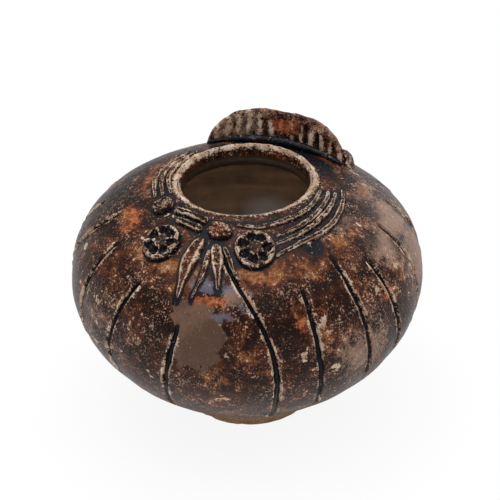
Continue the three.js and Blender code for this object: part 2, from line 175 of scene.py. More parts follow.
# Places where the fire or the glaze left another colour, and the places of painted reflection and sheen:
# azimuth, height, half width, half length, strength
PATCHES = {
    "scar": [(1.5, 49.5, 5.0, 3.6, 1.0), (4.0, 44.0, 6.2, 4.5, 1.0), (1.5, 39.5, 5.5, 3.6, 0.9)],
    # Milky blue glaze, partly a painted reflection of the lamp overhead
    "milky": [
        (5.0, 55.3, 4.4, 1.9, 1.3), (12.0, 54.6, 3.5, 1.6, 0.8), (10.0, 49.8, 3.2, 1.0, 1.0),
        (16.0, 51.8, 3.2, 1.6, 0.7), (20.0, 54.0, 2.5, 1.6, 0.5),
    ],
    "blush": [
        (5.6, 52.6, 3.9, 0.85, 1.6), (-51.0, 60.2, 4.6, 1.6, 1.0), (-44.5, 58.9, 2.4, 2.0, 0.7),
        (36.3, 47.0, 1.5, 2.1, 0.9), (43.5, 49.2, 1.6, 1.4, 0.55), (71.0, 46.3, 1.4, 1.3, 1.7),
        (8.0, 23.0, 1.9, 0.9, 0.9), (108.0, 60.4, 3.0, 1.2, 0.7),
    ],
    "amber": [
        (-50.0, 60.0, 6.0, 3.0, 1.0), (-16.5, 57.4, 4.6, 2.2, 1.1), (-27.0, 57.2, 4.0, 2.0, 0.8),
        (-46.0, 57.0, 3.0, 3.4, 0.9), (22.0, 57.2, 5.0, 1.9, 1.2), (31.0, 56.9, 5.5, 2.0, 1.2),
        (44.0, 56.6, 5.5, 2.2, 1.1), (62.5, 58.8, 6.0, 2.4, 0.85), (58.0, 53.5, 3.5, 4.5, 0.8),
        (84.0, 58.0, 6.0, 2.0, 0.6), (84.0, 50.0, 6.0, 5.0, 0.7), (37.0, 50.5, 2.6, 4.0, 0.9),
        (25.0, 40.0, 3.2, 8.0, 0.8), (43.0, 41.0, 2.4, 8.0, 0.6), (10.0, 36.0, 7.0, 6.0, 0.55),
        (-66.0, 52.0, 3.5, 5.0, 0.6), (-68.0, 61.9, 4.5, 1.3, 1.0), (-82.0, 62.1, 5.5, 1.2, 1.0),
        (-98.0, 62.0, 5.0, 1.1, 0.8), (-26.0, 48.0, 6.0, 5.0, 0.5), (18.5, 43.0, 2.5, 9.0, 0.5),
    ],
    # Grey film of wear, with painted sheen on the shoulders and low on the body
    "haze": [
        (14.0, 53.4, 2.6, 2.2, 1.3), (84.0, 54.0, 8.0, 5.0, 1.1), (98.0, 56.0, 9.0, 6.0, 1.25),
        (96.0, 46.0, 9.0, 10.0, 1.1), (74.0, 60.5, 5.0, 2.0, 0.8), (58.0, 35.0, 9.0, 7.0, 1.0),
        (62.0, 44.0, 5.0, 5.0, 0.6), (-36.0, 38.0, 12.0, 10.0, 0.7), (-92.0, 44.0, 9.0, 12.0, 0.7),
        (-12.0, 22.0, 14.0, 5.0, 0.6), (30.0, 19.0, 18.0, 5.0, 0.7), (114.0, 60.0, 10.0, 4.0, 1.0),
        (92.0, 62.0, 7.0, 2.6, 0.7), (-115.0, 60.5, 11.0, 4.0, 0.5),
    ],
    "dark": [
        (-66.0, 60.6, 4.0, 2.6, 1.2), (-84.0, 59.0, 11.0, 4.5, 1.0), (-74.0, 55.5, 6.0, 4.0, 0.9),
        (-105.0, 60.5, 9.0, 3.5, 0.8), (-80.0, 48.0, 6.0, 5.0, 0.6), (-66.0, 55.5, 4.0, 2.2, 1.1),
        (-47.0, 51.0, 4.0, 3.0, 0.5), (88.0, 52.5, 2.5, 2.5, 1.0), (69.0, 53.5, 2.5, 2.5, 0.9),
        (32.0, 46.0, 4.0, 4.0, 0.8), (-51.0, 56.4, 4.0, 2.6, 1.0), (-18.0, 52.0, 7.0, 4.0, 0.5),
        (10.5, 46.8, 3.2, 2.2, 1.2), (26.0, 52.0, 6.0, 3.6, 1.0), (14.0, 42.0, 5.0, 5.0, 0.6),
        (77.0, 57.0, 3.0, 2.2, 1.3), (92.0, 58.3, 3.4, 1.7, 1.1), (53.0, 53.0, 2.6, 4.0, 0.9),
        (75.0, 60.6, 5.0, 1.8, 0.8),
    ],
    "chip": [
        (36.2, 39.3, 0.8, 1.5, 1.2), (12.0, 41.0, 0.8, 0.7, 1.0), (11.0, 27.0, 1.7, 0.45, 1.0),
        (-58.0, 51.0, 1.0, 0.9, 1.0), (-37.0, 45.0, 0.9, 1.0, 1.0), (43.5, 46.5, 1.0, 1.4, 1.0),
        (47.0, 34.0, 1.2, 0.9, 1.0), (66.0, 48.5, 1.0, 1.2, 0.9), (80.0, 50.5, 0.6, 0.6, 1.1),
        (56.0, 25.0, 1.3, 0.8, 1.0), (37.5, 52.0, 1.6, 2.2, 0.7), (-8.0, 27.5, 1.0, 0.7, 0.9),
    ],
}

# Where a reflection of the opening is painted on the inner wall, as a pale blue-white spot
INSIDE_REFLECTION_PLACE = (-7.0, 39.0, 31.0)

# Lamps: place and size
KEY_LAMP = (-90, 20, 700), 420
RIM_LAMP = (330, 790, 220), 360

# Upward share of a ray at which the room starts and stops to grow lighter
ROOM_CLIMB = (0.28, 0.92)

# Camera: aim, distance and turn fitted to the outline of the pot
AIM_HEIGHT = BELLY_HEIGHT
CAMERA_DISTANCE = 450.0
CAMERA_ELEVATION = 31.392
CAMERA_AZIMUTH = 19.0
CAMERA_ROLL = -1.182
FOCAL_PIXELS = 1731.15
PICTURE_PIXELS = 500
AIM_PIXEL = (246.961, 273.34)


# Settings

def colour(name, description, value):
    """A colour setting in linear light."""
    return FloatVectorProperty(
        name=name, description=description, default=value, subtype="COLOR", min=0, max=1
    )


def length(name, description, value):
    """A length setting. Its value is in metres."""
    return FloatProperty(
        name=name, description=description, default=value * MM, min=0, unit="LENGTH", precision=5
    )


class LimePotClay(bpy.types.PropertyGroup):
    """Sizes of what the potter's tool and the wheel left on the clay."""

    groove_width: length("Groove width", "Width of an incised line at its lips", 1.5)
    groove_depth: length("Groove depth", "Depth of an incised line", 0.95)
    burr: length("Burr", "Height of the clay pushed up beside an incised line", 0.24)
    lobe: length("Lobe", "Swelling of the wall between two lines", 0.3)
    waver: length("Waver", "How far the thrown wall strays from a true round", 0.22)
    wear: length("Wear", "How far the edges of the luted clay are broken", 0.24)
    flute_depth: length("Flute depth", "Depth of the flutes in the crest", 0.7)
    seat: length("Seat", "How far the luted clay is pressed into the wall", 0.15)
    columns: IntProperty(
        name="Columns", description="Columns of faces from one incised line to the next", default=32
    )


class LimePotGlaze(bpy.types.PropertyGroup):
    """Colours of the glaze and the clay, and of painted reflections and sheen, in linear light."""

    black: colour("Black brown", "Glaze where it lies thickest", (0.0125, 0.0048, 0.0028))
    brown: colour("Brown", "Glaze of middling thickness", (0.046, 0.0140, 0.0072))
    russet: colour("Russet", "Thinner glaze", (0.108, 0.032, 0.0120))
    amber: colour("Amber", "Glaze that broke to amber", (0.265, 0.095, 0.023))
    tan: colour("Tan", "Clay that shows through at edges and pits", (0.430, 0.275, 0.180))
    cream: colour("Cream", "Clay that wear has bared", (0.690, 0.550, 0.430))
    pooled: colour("Pooled", "Blue-black glaze pooled in lines and corners", (0.006, 0.007, 0.010))
    # Milky blue glaze with a painted reflection of the lamp overhead in it
    milky: colour("Milky", "Milky blue glaze below the beak", (0.130, 0.137, 0.185))
    scar: colour("Scar", "Smooth grey-brown place on the breast", (0.170, 0.098, 0.068))
    blush: colour("Blush", "Orange-red place where the glaze is thin", (0.520, 0.145, 0.055))
    # Grey-brown film of wear, also the colour of the painted sheen
    haze: colour("Haze", "Grey-brown film of wear", (0.335, 0.212, 0.152))
    inside: colour("Inside", "Thin wash inside the pot", (0.530, 0.395, 0.288))
    # Colour of the painted reflection on the inner wall
    inside_reflection: colour("Pale inside", "Palest place of the wash", (0.9, 0.9, 0.98))
    throat: colour("Throat", "Glaze that ran over the lip into the mouth", (0.040, 0.023, 0.014))
    clay: colour("Clay", "Bare clay of the foot", (0.640, 0.410, 0.220))
    clay_dark: colour("Stained clay", "Stained places of the foot", (0.220, 0.130, 0.062))


class LimePotStudio(bpy.types.PropertyGroup):
    """Light and floor of the studio."""

    key_power: FloatProperty(
        name="Key power", description="Power of the lamp overhead", default=1.6, unit="POWER"
    )
    rim_power: FloatProperty(
        name="Rim power", description="Power of the low lamp behind", default=1.3, unit="POWER"
    )
    room_level: FloatProperty(name="Room level", description="Strength of the light from above", default=1.32)
    horizon: FloatProperty(
        name="Horizon", description="Light near the horizon as a share of that above", default=0.2
    )
    floor_colour: colour("Floor", "Colour of the floor", (0.93, 0.93, 0.93))
    backdrop: FloatProperty(
        name="Backdrop", description="Share of plain white in the floor as seen", default=0.9
    )


# Shape of the thrown pot

def smoothstep(value, low, high):
    """0 below low, 1 above high, smooth between."""
    share = np.clip((np.asarray(value, float) - low) / (high - low), 0, 1)
    return share * share * (3 - 2 * share)


def bell(value, centre, width, power=2):
    """1 at the centre, falling away on both sides over the width."""
    return np.exp(-(np.abs((value - centre) / width) ** power))


def shoulder_height(radius):
    """Height of the outer wall above its widest place."""
    share = np.minimum(1, np.asarray(radius, float) / BODY_RADIUS)
    return BELLY_HEIGHT + SHOULDER_RISE * (1 - share**SHOULDER_FULLNESS) ** (1 / SHOULDER_FULLNESS)


def quarter(from_radius, to_radius, max_radius, rise, fullness, count):
    """Rings of a superellipse quarter, as radius and height."""
    first, last = (np.arccos((radius / max_radius) ** (fullness / 2)) for radius in (from_radius, to_radius))
    angles = np.linspace(first, last, count + 1)
    radius = max_radius * np.cos(angles) ** (2 / fullness)
    return np.stack([radius, BELLY_HEIGHT + rise * np.sin(angles) ** (2 / fullness)], 1)


def thrown_profile():
    """Rings of the pot from the edge of the foot, up the outside, over the lip and to the floor inside."""
    base = FOOT_TOP + 0.1
    lower = quarter(FOOT_RADIUS, BODY_RADIUS, BODY_RADIUS, -UNDERBODY_DROP, UNDERBODY_FULLNESS, 9)
    upper = quarter(BODY_RADIUS, LIP_RADIUS, BODY_RADIUS, SHOULDER_RISE, SHOULDER_FULLNESS, 15)
    lower[0, 1] = base
    top = float(shoulder_height(LIP_RADIUS - 0.9))
    lip = [
        (LIP_RADIUS - 0.5, top + 0.02),
        (LIP_RADIUS - 1.2, top + 0.12),
        (MOUTH_RADIUS + 0.7, top - 0.05),
        (MOUTH_RADIUS + 0.15, top - 0.7),
        (MOUTH_RADIUS, top - 1.9),
    ]
    hollow = BODY_RADIUS - WALL
    drop = BELLY_HEIGHT - base - FLOOR_THICKNESS
    ceiling = quarter(MOUTH_RADIUS + 0.3, hollow, hollow, SHOULDER_RISE - WALL, SHOULDER_FULLNESS, 5)
    bowl = quarter(hollow, FLOOR_RADIUS, hollow, -drop, UNDERBODY_FULLNESS, 5)
    return np.vstack([lower, upper[1:], lip, ceiling, bowl[1:]])


def incised_lines():
    """All lines round the pot, as rows of FRONT_LINES."""
    first, last = FRONT_LINES[0], FRONT_LINES[-1]
    lines = list(FRONT_LINES)
    for index in range(BACK_LINES):
        share = (index + 1) / (BACK_LINES + 1)
        ends = [last[end] + (first[end] + 360 - last[end]) * share for end in (0, 1)]
        lines.append((*ends, *BACK_LINE))
    return lines


def line_azimuth(line, z):
    """Azimuth of a line at a height."""
    top, bottom, high, low, bow = line
    share = np.clip((z - low) / (high - low), 0, 1)
    return bottom + (top - bottom) * share**bow


def line_strength(line, z):
    """1 along a line, falling to 0 at both of its ends."""
    high, low = line[2], line[3]
    return smoothstep(z, low, low + LINE_FADE) * (1 - smoothstep(z, high - LINE_FADE, high))


def place(azimuth, radius, z):
    """The point at an azimuth, a distance from the axis and a height."""
    angle = np.radians(azimuth)
    return np.stack([radius * np.sin(angle), -radius * np.cos(angle), z + 0 * angle], -1)


def on_shoulder(x, y, lift):
    """Points of the shoulder above x, y, raised along its normal."""
    step = 0.05
    radius = np.maximum(np.hypot(x, y), step)
    slope = (shoulder_height(radius + step) - shoulder_height(radius - step)) / (2 * step)
    normal = np.stack([-slope * x / radius, -slope * y / radius, np.ones_like(radius)], -1)
    normal /= np.linalg.norm(normal, axis=-1, keepdims=True)
    return np.stack([x, y, shoulder_height(radius)], -1) + normal * np.asarray(lift)[..., None]


def rounded_through(a, b, c, d, t):
    """The rounded curve from b to c at a share t of the way, with a and d as the points before and after."""
    return 0.5 * (2 * b + (c - a) * t + (2 * a - 5 * b + 4 * c - d) * t**2 + (3 * b - a - 3 * c + d) * t**3)


def with_outer_points(points):
    """Points with one more before and after them, so that a curve can run through them all."""
    return np.vstack([2 * points[0] - points[1], points, 2 * points[-1] - points[-2]])


def smooth_curve(points, shares):
    """A rounded curve through points, read at shares of its length. Returns places, directions and length."""
    points = np.asarray(points, float)
    ends = with_outer_points(points)
    dense = []
    for index in range(len(points) - 1):
        for t in np.linspace(0, 1, 40, endpoint=index == len(points) - 2):
            dense.append(rounded_through(*ends[index:index + 4], t))
    dense = np.array(dense)
    travelled = np.concatenate([[0], np.cumsum(np.linalg.norm(np.diff(dense, axis=0), axis=1))])
    wanted = np.asarray(shares) * travelled[-1]
    step = travelled[-1] / 400
    at, ahead, behind = (
        np.stack([np.interp(wanted + shift, travelled, column) for column in dense.T], -1)
        for shift in (0, step, -step)
    )
    along = ahead - behind
    return at, along / np.linalg.norm(along, axis=-1, keepdims=True), travelled[-1]


def grain(points, size, seed=0.0):
    """Soft noise from about -1 to 1 at each point, with lumps of the given size."""
    shift = Vector((seed, 2 * seed, -seed))
    return np.array([noise.fractal(Vector(p) / size + shift, 1.0, 2.0, 2) for p in points])


def grain_on(size, seed, *parts):
    """The same noise read at places of up to three parts, such as a share and an angle."""
    parts = [*parts, *[0 * parts[0]] * (3 - len(parts))]
    return grain(np.stack(parts, 1), size, seed)


# Mesh work

def clear_selection():
    """Object mode with nothing selected."""
    if bpy.context.object and bpy.context.object.mode != "OBJECT":
        bpy.ops.object.mode_set(mode="OBJECT")
    bpy.ops.object.select_all(action="DESELECT")


def named(name):
    """The object that was just added, under its name."""
    piece = bpy.context.object
    piece.name = name
    piece.data.name = name
    return piece


def split_faces(piece, times):
    """Splits every face in four, once or more, and leaves the shape as it is."""
    modifier = piece.modifiers.new("Split", "SUBSURF")
    modifier.subdivision_type = "SIMPLE"
    modifier.levels = modifier.render_levels = times
    bpy.ops.object.modifier_apply(modifier=modifier.name)


def corners(piece):
    """The corners of a mesh in millimetres."""
    flat = np.empty(len(piece.data.vertices) * 3)
    piece.data.vertices.foreach_get("co", flat)
    return flat.reshape(-1, 3) / MM


def move_corners(piece, points):
    """Puts the corners at points in millimetres."""
    piece.data.vertices.foreach_set("co", (np.asarray(points) * MM).ravel())
    piece.data.update()


def note(piece, **kinds):
    """Keeps numbers from 0 to 1 at each corner for the materials to read."""
    for name, values in kinds.items():
        attribute = piece.data.attributes.new(name, "FLOAT", "POINT")
        kept = np.clip(values, 0, 1) + np.zeros(len(piece.data.vertices))
        attribute.data.foreach_set("value", kept.astype(np.float32))


def finish_piece(piece, slot, material_name, *nodes):
    """Closes seams, points faces outwards, shades smooth and hands the piece to the frame."""
    clear_selection()
    piece.select_set(True)
    bpy.context.view_layer.objects.active = piece
    bpy.ops.object.mode_set(mode="EDIT")
    bpy.ops.mesh.select_all(action="SELECT")
    bpy.ops.mesh.remove_doubles(threshold=0.002 * MM)
    bpy.ops.mesh.normals_make_consistent(inside=False)
    bpy.ops.object.mode_set(mode="OBJECT")
    bpy.ops.object.shade_smooth()
    if not piece.data.materials:
        piece.data.materials.append(material(material_name))
    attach(piece, "root")
    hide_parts(*nodes)


def lump_of_clay(name, segments, rings):
    """A round lump to be drawn out, with each corner's share from end to end and its angle round it."""
    clear_selection()
    bpy.ops.mesh.primitive_uv_sphere_add(segments=segments, ring_count=rings, radius=1)
    piece = named(name)
    points = corners(piece) * MM
    return piece, (1 - points[:, 2]) / 2, np.arctan2(points[:, 1], points[:, 0])


def rounded_ends(share, total, half):
    """From 0 at each end of a roll to 1 where its round end is complete."""
    to_end = np.minimum(share, 1 - share) * total
    return np.sqrt(np.clip(1 - (1 - np.minimum(1, to_end / half)) ** 2, 0, 1))


# Materials

def rgba(value, share=1.0):
    """A colour, or a darker or paler share of it, as a node wants it."""
    return (*(min(1.0, part * share) for part in value), 1.0)


class Nodes:
    """Short calls for building one node tree."""

    def __init__(self, name):
        self.material = bpy.data.materials.new(name)
        self.material.use_nodes = True
        self.tree = self.material.node_tree
        self.shader = self.tree.nodes["Principled BSDF"]
        coordinates = self.tree.nodes.new("ShaderNodeTexCoord")
        scale = self.add("ShaderNodeVectorMath", operation="SCALE")
        self.tree.links.new(coordinates.outputs["Object"], scale.inputs[0])
        scale.inputs["Scale"].default_value = 1 / MM
        self.place = scale.outputs[0]

    def add(self, kind, **values):
        """A new node with some of its settings."""
        node = self.tree.nodes.new(kind)
        for key, value in values.items():
            setattr(node, key, value)
        return node

    def feed(self, socket, value):
        """Links a socket's value, or sets it where the value is a constant."""
        if isinstance(value, bpy.types.NodeSocket):
            self.tree.links.new(value, socket)
        else:
            socket.default_value = value

    def math(self, operation, first, second=0.0, third=None, clamp=False):
        """A math node's result. Only MULTIPLY_ADD takes a third value."""
        node = self.add("ShaderNodeMath", operation=operation, use_clamp=clamp)
        self.feed(node.inputs[0], first)
        self.feed(node.inputs[1], second)
        if third is not None:
            self.feed(node.inputs[2], third)
        return node.outputs[0]

    def times(self, first, second):
        return self.math("MULTIPLY", first, second)

    def plus(self, first, second):
        return self.math("ADD", first, second)

    def rest(self, value):
        """What is left of 1."""
        return self.math("SUBTRACT", 1.0, value)

    def spare(self, value, mask, share):
        """A value that fades by a share where the mask is 1."""
        return self.times(value, self.rest(self.times(mask, share)))

    def most(self, first, *others, clamp=False):
        """The largest of several values."""
        for other in others:
            first = self.math("MAXIMUM", first, other)
        first.node.use_clamp = clamp
        return first

    def height(self):
        """Height above the ground in millimetres."""
        parts = self.add("ShaderNodeSeparateXYZ")
        self.feed(parts.inputs[0], self.place)
        return parts.outputs["Z"]

    def moved(self, shift, stretch=(1, 1, 1)):
        """The place in millimetres, shifted and stretched for a pattern to read."""
        mapping = self.add("ShaderNodeMapping")
        self.feed(mapping.inputs["Vector"], self.place)
        mapping.inputs["Location"].default_value = shift
        mapping.inputs["Scale"].default_value = stretch
        return mapping.outputs[0]

    def cloud(self, size, detail=3.0, roughness=0.55, distortion=0.0, shift=0.0, stretch=(1, 1, 1)):
        """Noise with lumps of a size in millimetres."""
        node = self.add("ShaderNodeTexNoise")
        self.feed(node.inputs["Vector"], self.moved((shift, -shift, 2 * shift), stretch))
        node.inputs["Scale"].default_value = 1 / size
        node.inputs["Detail"].default_value = detail
        node.inputs["Roughness"].default_value = roughness
        node.inputs["Distortion"].default_value = distortion
        return node.outputs["Fac"]

    def dots(self, size, shift=0.0):
        """Distance to the nearest of many scattered points, in cells of a size, and a chance value for it."""
        node = self.add("ShaderNodeTexVoronoi")
        self.feed(node.inputs["Vector"], self.moved((shift, shift, -shift)))
        node.inputs["Scale"].default_value = 1 / size
        return node.outputs["Distance"], node.outputs["Color"]

    def total(self, start, *parts):
        """A start value plus weighted noises, each counted from its middle."""
        value = start
        for part, weight in parts:
            value = self.math("MULTIPLY_ADD", self.math("SUBTRACT", part, 0.5), weight, value)
        return value

    def attribute(self, name):
        return self.add("ShaderNodeAttribute", attribute_name=name).outputs["Fac"]

    def step(self, value, low, high):
        """0 below low, 1 above high, smooth between."""
        node = self.add("ShaderNodeMapRange", interpolation_type="SMOOTHSTEP", clamp=True)
        self.feed(node.inputs["Value"], value)
        node.inputs["From Min"].default_value = low
        node.inputs["From Max"].default_value = high
        return node.outputs["Result"]

    def ragged(self, name, ragging, amount, low, high):
        """An attribute as a mask whose edge is broken by noise."""
        return self.step(self.total(self.attribute(name), (ragging, amount)), low, high)

    def mix(self, share, first, second):
        """The first colour, giving way to the second as the share grows to 1."""
        node = self.add("ShaderNodeMix", data_type="RGBA")
        self.feed(node.inputs[0], share)
        self.feed(node.inputs[6], first)
        self.feed(node.inputs[7], second)
        return node.outputs[2]

    def ramp(self, value, stops):
        """The colour that a value has between the stops."""
        node = self.add("ShaderNodeValToRGB")
        self.feed(node.inputs[0], value)
        elements = node.color_ramp.elements
        while len(elements) < len(stops):
            elements.new(0.5)
        for element, (position, shade) in zip(elements, stops):
            element.position = position
            element.color = shade
        return node.outputs[0]

    def bump(self, height, depth, strength, base=None):
        """Bump of a depth in millimetres."""
        node = self.add("ShaderNodeBump")
        node.inputs["Strength"].default_value = strength
        node.inputs["Distance"].default_value = depth * MM
        self.feed(node.inputs["Height"], height)
        if base is not None:
            self.feed(node.inputs["Normal"], base)
        return node.outputs[0]

    def finish(self, shade, rough, ior, normal):
        """Sets the shader's colour, roughness, index and normal and returns the material."""
        self.feed(self.shader.inputs["Base Color"], shade)
        self.feed(self.shader.inputs["Roughness"], rough)
        self.feed(self.shader.inputs["Normal"], normal)
        self.shader.inputs["IOR"].default_value = ior
        return self.material


class GlazeNodes(Nodes):
    """Node tree of an iron glaze, with the noises that its parts share, from the widest to the finest."""

    def __init__(self, name):
        super().__init__(name)
        self.drift = self.cloud(14, detail=2, distortion=0.4)
        self.crowd = self.cloud(6.5, detail=3, roughness=0.6, shift=17)
        self.blotch = self.cloud(3.4, detail=4, roughness=0.62, distortion=0.5, shift=7)
        self.mottle = self.cloud(1.15, detail=3, roughness=0.7, distortion=0.3, shift=31)
        self.sand = self.cloud(0.4, detail=2, roughness=0.6, shift=53)
        self.grains = self.total(0.5, (self.mottle, 0.8), (self.sand, 1.0))
        self.dark = self.attribute("dark")
        amber_edge = self.total(0.5, (self.blotch, 0.8), (self.mottle, 0.4))
        self.amber = self.ragged("amber", amber_edge, 1.4, 0.2, 0.8)
        self.scar = self.ragged("scar", self.blotch, 1.3, 0.42, 0.48)
        # Milky blue places, where a reflection is painted as well as the glaze's own colour
        milky_edge = self.total(0.5, (self.blotch, 0.8), (self.mottle, 0.5))
        self.milky = self.ragged("milky", milky_edge, 2.2, 0.4, 0.95)
        self.smooth_place = self.most(self.scar, self.milky)


def fired_colour(nodes, glaze, thin):
    """Black-brown to tan as the glaze grows thinner."""
    heat = nodes.total(
        0.490 + thin, (nodes.drift, 0.5), (nodes.blotch, 0.62), (nodes.mottle, 0.45), (nodes.sand, 0.5)
    )
    heat = nodes.math("SUBTRACT", heat, nodes.times(nodes.dark, 0.13))
    heat = nodes.plus(heat, nodes.times(nodes.amber, 0.14))
    return nodes.ramp(heat, [
        (0.40, rgba(glaze.black)),
        (0.50, rgba(glaze.brown)),
        (0.60, rgba(glaze.russet)),
        (0.72, rgba(glaze.amber)),
        (0.90, rgba(glaze.tan)),
    ])


def worn_film_and_sheen(nodes):
    """A grey film of wear and of painted sheen, which clings in grains and leaves the dark glaze."""
    film_and_sheen = nodes.total(nodes.attribute("haze"), (nodes.drift, 1.0), (nodes.blotch, 1.3), (nodes.grains, 1.2))
    return nodes.spare(nodes.times(nodes.step(film_and_sheen, 0.40, 1.0), 0.8), nodes.dark, 0.8)


def bared_clay(nodes):
    """Specks, pits and chips that show the clay, thicker in some places than in others."""
    flecks = nodes.total(0.5, (nodes.sand, 1.0), (nodes.mottle, 0.5), (nodes.crowd, 0.5))
    fleck = nodes.step(flecks, 0.635, 0.68)
    thickly = nodes.most(nodes.step(nodes.crowd, 0.38, 0.66), nodes.times(nodes.attribute("haze"), 0.8))
    distance, pick = nodes.dots(0.95, shift=3)
    pit_size = nodes.times(nodes.times(nodes.step(pick, 0.45, 1.0), thickly), 0.42)
    pit = nodes.step(nodes.math("SUBTRACT", pit_size, distance), -0.04, 0.10)
    flakes = nodes.cloud(2.0, detail=4, roughness=0.68, distortion=0.8, shift=77)
    flake = nodes.step(nodes.total(0.0, (flakes, 1.0), (nodes.crowd, 0.25)), 0.18, 0.205)
    chip = nodes.ragged("chip", nodes.total(0.5, (nodes.mottle, 1.0), (nodes.blotch, 1.0)), 2.2, 0.5, 0.58)
    chip = nodes.most(flake, chip)
    spared = nodes.most(
        nodes.times(nodes.smooth_place, 0.9),
        nodes.times(nodes.amber, 0.4),
        nodes.times(nodes.dark, 0.75),
        clamp=True,
    )
    return nodes.times(nodes.most(nodes.times(pit, 0.8), nodes.times(fleck, 0.7), chip), nodes.rest(spared))


def placed_colours(nodes, glaze, shade):
    """The smooth scar, the milky blue glaze with a painted reflection in it, and the orange-red places over
    the glaze.
    """
    scar_share = nodes.step(nodes.total(0.5, (nodes.drift, 0.8), (nodes.mottle, 0.6)), 0.4, 0.62)
    scar_tone = nodes.mix(scar_share, rgba(glaze.scar), rgba(glaze.scar, 0.6))
    shade = nodes.mix(nodes.times(nodes.scar, 0.9), shade, scar_tone)
    # Milky blue places: the glaze's colour with a painted reflection in it
    shade = nodes.mix(nodes.times(nodes.milky, 0.72), shade, rgba(glaze.milky))
    blush = nodes.ragged("blush", nodes.grains, 1.5, 0.3, 0.85)
    blush_tone = nodes.mix(nodes.step(nodes.mottle, 0.4, 0.62), rgba(glaze.blush, 0.4), rgba(glaze.blush))
    return nodes.mix(nodes.times(blush, 0.88), shade, blush_tone)


def glaze_material(name, thin, edge_reach, sheen_roughness):
    """Mottled iron glaze. A thin glaze shows more of the clay and an edge reach lets the tan spread."""
    glaze = bpy.context.scene.lime_pot_glaze
    nodes = GlazeNodes(name)
    film_and_sheen = worn_film_and_sheen(nodes)
    bare = bared_clay(nodes)
    pool = nodes.ragged("pool", nodes.grains, 1.1, 0.32, 0.62)
    edge = nodes.ragged("edge", nodes.grains, 2.3, 0.5 - edge_reach, 0.68 - edge_reach)
    clay_tone = nodes.mix(nodes.step(nodes.blotch, 0.42, 0.62), rgba(glaze.tan), rgba(glaze.cream))
    # Grey film of wear and painted sheen over the fired colour
    shade = nodes.mix(film_and_sheen, fired_colour(nodes, glaze, thin), rgba(glaze.haze))
    shade = placed_colours(nodes, glaze, nodes.mix(bare, shade, clay_tone))
    shade = nodes.mix(pool, shade, rgba(glaze.pooled))
    shade = nodes.mix(nodes.times(edge, 0.94), shade, clay_tone)

    underside = nodes.rest(nodes.step(nodes.height(), 8.0, 26.0))
    worn = nodes.most(bare, edge, nodes.times(film_and_sheen, 0.5))
    rough = nodes.plus(nodes.total(sheen_roughness, (nodes.blotch, 0.3)), nodes.times(worn, 0.3))
    rough = nodes.plus(rough, nodes.times(underside, 0.3))
    wet = nodes.times(nodes.most(pool, nodes.milky), 0.1)
    rough = nodes.math("SUBTRACT", rough, wet, clamp=True)
    normal = nodes.bump(nodes.spare(nodes.grains, nodes.smooth_place, 0.85), 0.20, 0.8)
    normal = nodes.bump(nodes.most(bare, edge), 0.09, 0.8, base=normal)
    return nodes.finish(shade, rough, 1.21, normal)


def inside_material(name):
    """Thin wash over throwing rings, with a painted reflection as a pale spot at one place, and dark where
    the glaze ran over the lip.
    """
    glaze = bpy.context.scene.lime_pot_glaze
    nodes = Nodes(name)
    rings = nodes.cloud(2.2, detail=2, stretch=(0.08, 0.08, 1))
    stain = nodes.cloud(7, detail=3, shift=5)
    sand = nodes.cloud(0.5, detail=2, shift=9)
    shade = nodes.ramp(nodes.plus(nodes.times(rings, 0.5), nodes.times(stain, 0.5)), [
        (0.30, rgba(glaze.inside, 0.45)),
        (0.50, rgba(glaze.inside)),
        (0.70, rgba(glaze.inside, 1.5)),
    ])
    shade = nodes.mix(nodes.times(nodes.step(sand, 0.55, 0.75), 0.35), shade, rgba(glaze.haze))
    # A painted reflection: a pale blue-white spot on the inner wall
    away = nodes.add("ShaderNodeVectorMath", operation="DISTANCE")
    nodes.feed(away.inputs[0], nodes.place)
    away.inputs[1].default_value = INSIDE_REFLECTION_PLACE
    painted_reflection = nodes.rest(nodes.step(away.outputs["Value"], 2.0, 9.0))
    shade = nodes.mix(nodes.times(painted_reflection, 0.9), shade, rgba(glaze.inside_reflection))
    shade = nodes.mix(nodes.step(nodes.height(), 56.0, 59.5), shade, rgba(glaze.throat))
    normal = nodes.bump(sand, 0.12, 0.6, base=nodes.bump(rings, 0.5, 0.6))
    return nodes.finish(shade, nodes.math("MULTIPLY_ADD", stain, 0.3, 0.28), 1.36, normal)


def clay_material(name):
    """Bare gritty stoneware of the foot."""
    glaze = bpy.context.scene.lime_pot_glaze
    nodes = Nodes(name)
    stain = nodes.cloud(4, detail=4, roughness=0.65)
    grit = nodes.cloud(0.6, detail=3, roughness=0.7, shift=4)
    turning = nodes.cloud(0.8, detail=1, stretch=(0.06, 0.06, 1), shift=8)
    shade = nodes.ramp(nodes.plus(nodes.times(stain, 0.5), nodes.times(grit, 0.5)), [
        (0.34, rgba(glaze.clay_dark)),
        (0.50, rgba(glaze.clay)),
        (0.66, rgba(glaze.clay, 1.45)),
    ])
    distance, pick = nodes.dots(1.6)
    speck = nodes.times(nodes.step(pick, 0.55, 0.8), nodes.rest(nodes.step(distance, 0.12, 0.2)))
    shade = nodes.mix(nodes.times(speck, 0.7), shade, rgba(glaze.brown))
    normal = nodes.bump(turning, 0.25, 0.6, base=nodes.bump(grit, 0.3, 0.9))
    return nodes.finish(shade, 0.9, 1.3, normal)


# The maker of each material with, for a glaze, its thinness, edge reach and roughness
MATERIALS = {
    "lime_pot_glaze": (glaze_material, 0.0, 0.0, 0.34),
    "lime_pot_thin_glaze": (glaze_material, 0.01, 0.08, 0.38),
    "lime_pot_crest_glaze": (glaze_material, -0.01, 0.05, 0.34),
    "lime_pot_inside": (inside_material,),
    "lime_pot_bare_clay": (clay_material,),
}


def material(name):
    """The material of that name, made when it is first asked for."""
    maker, *finish = MATERIALS[name]
    return bpy.data.materials.get(name) or maker(name, *finish)


# Luted clay

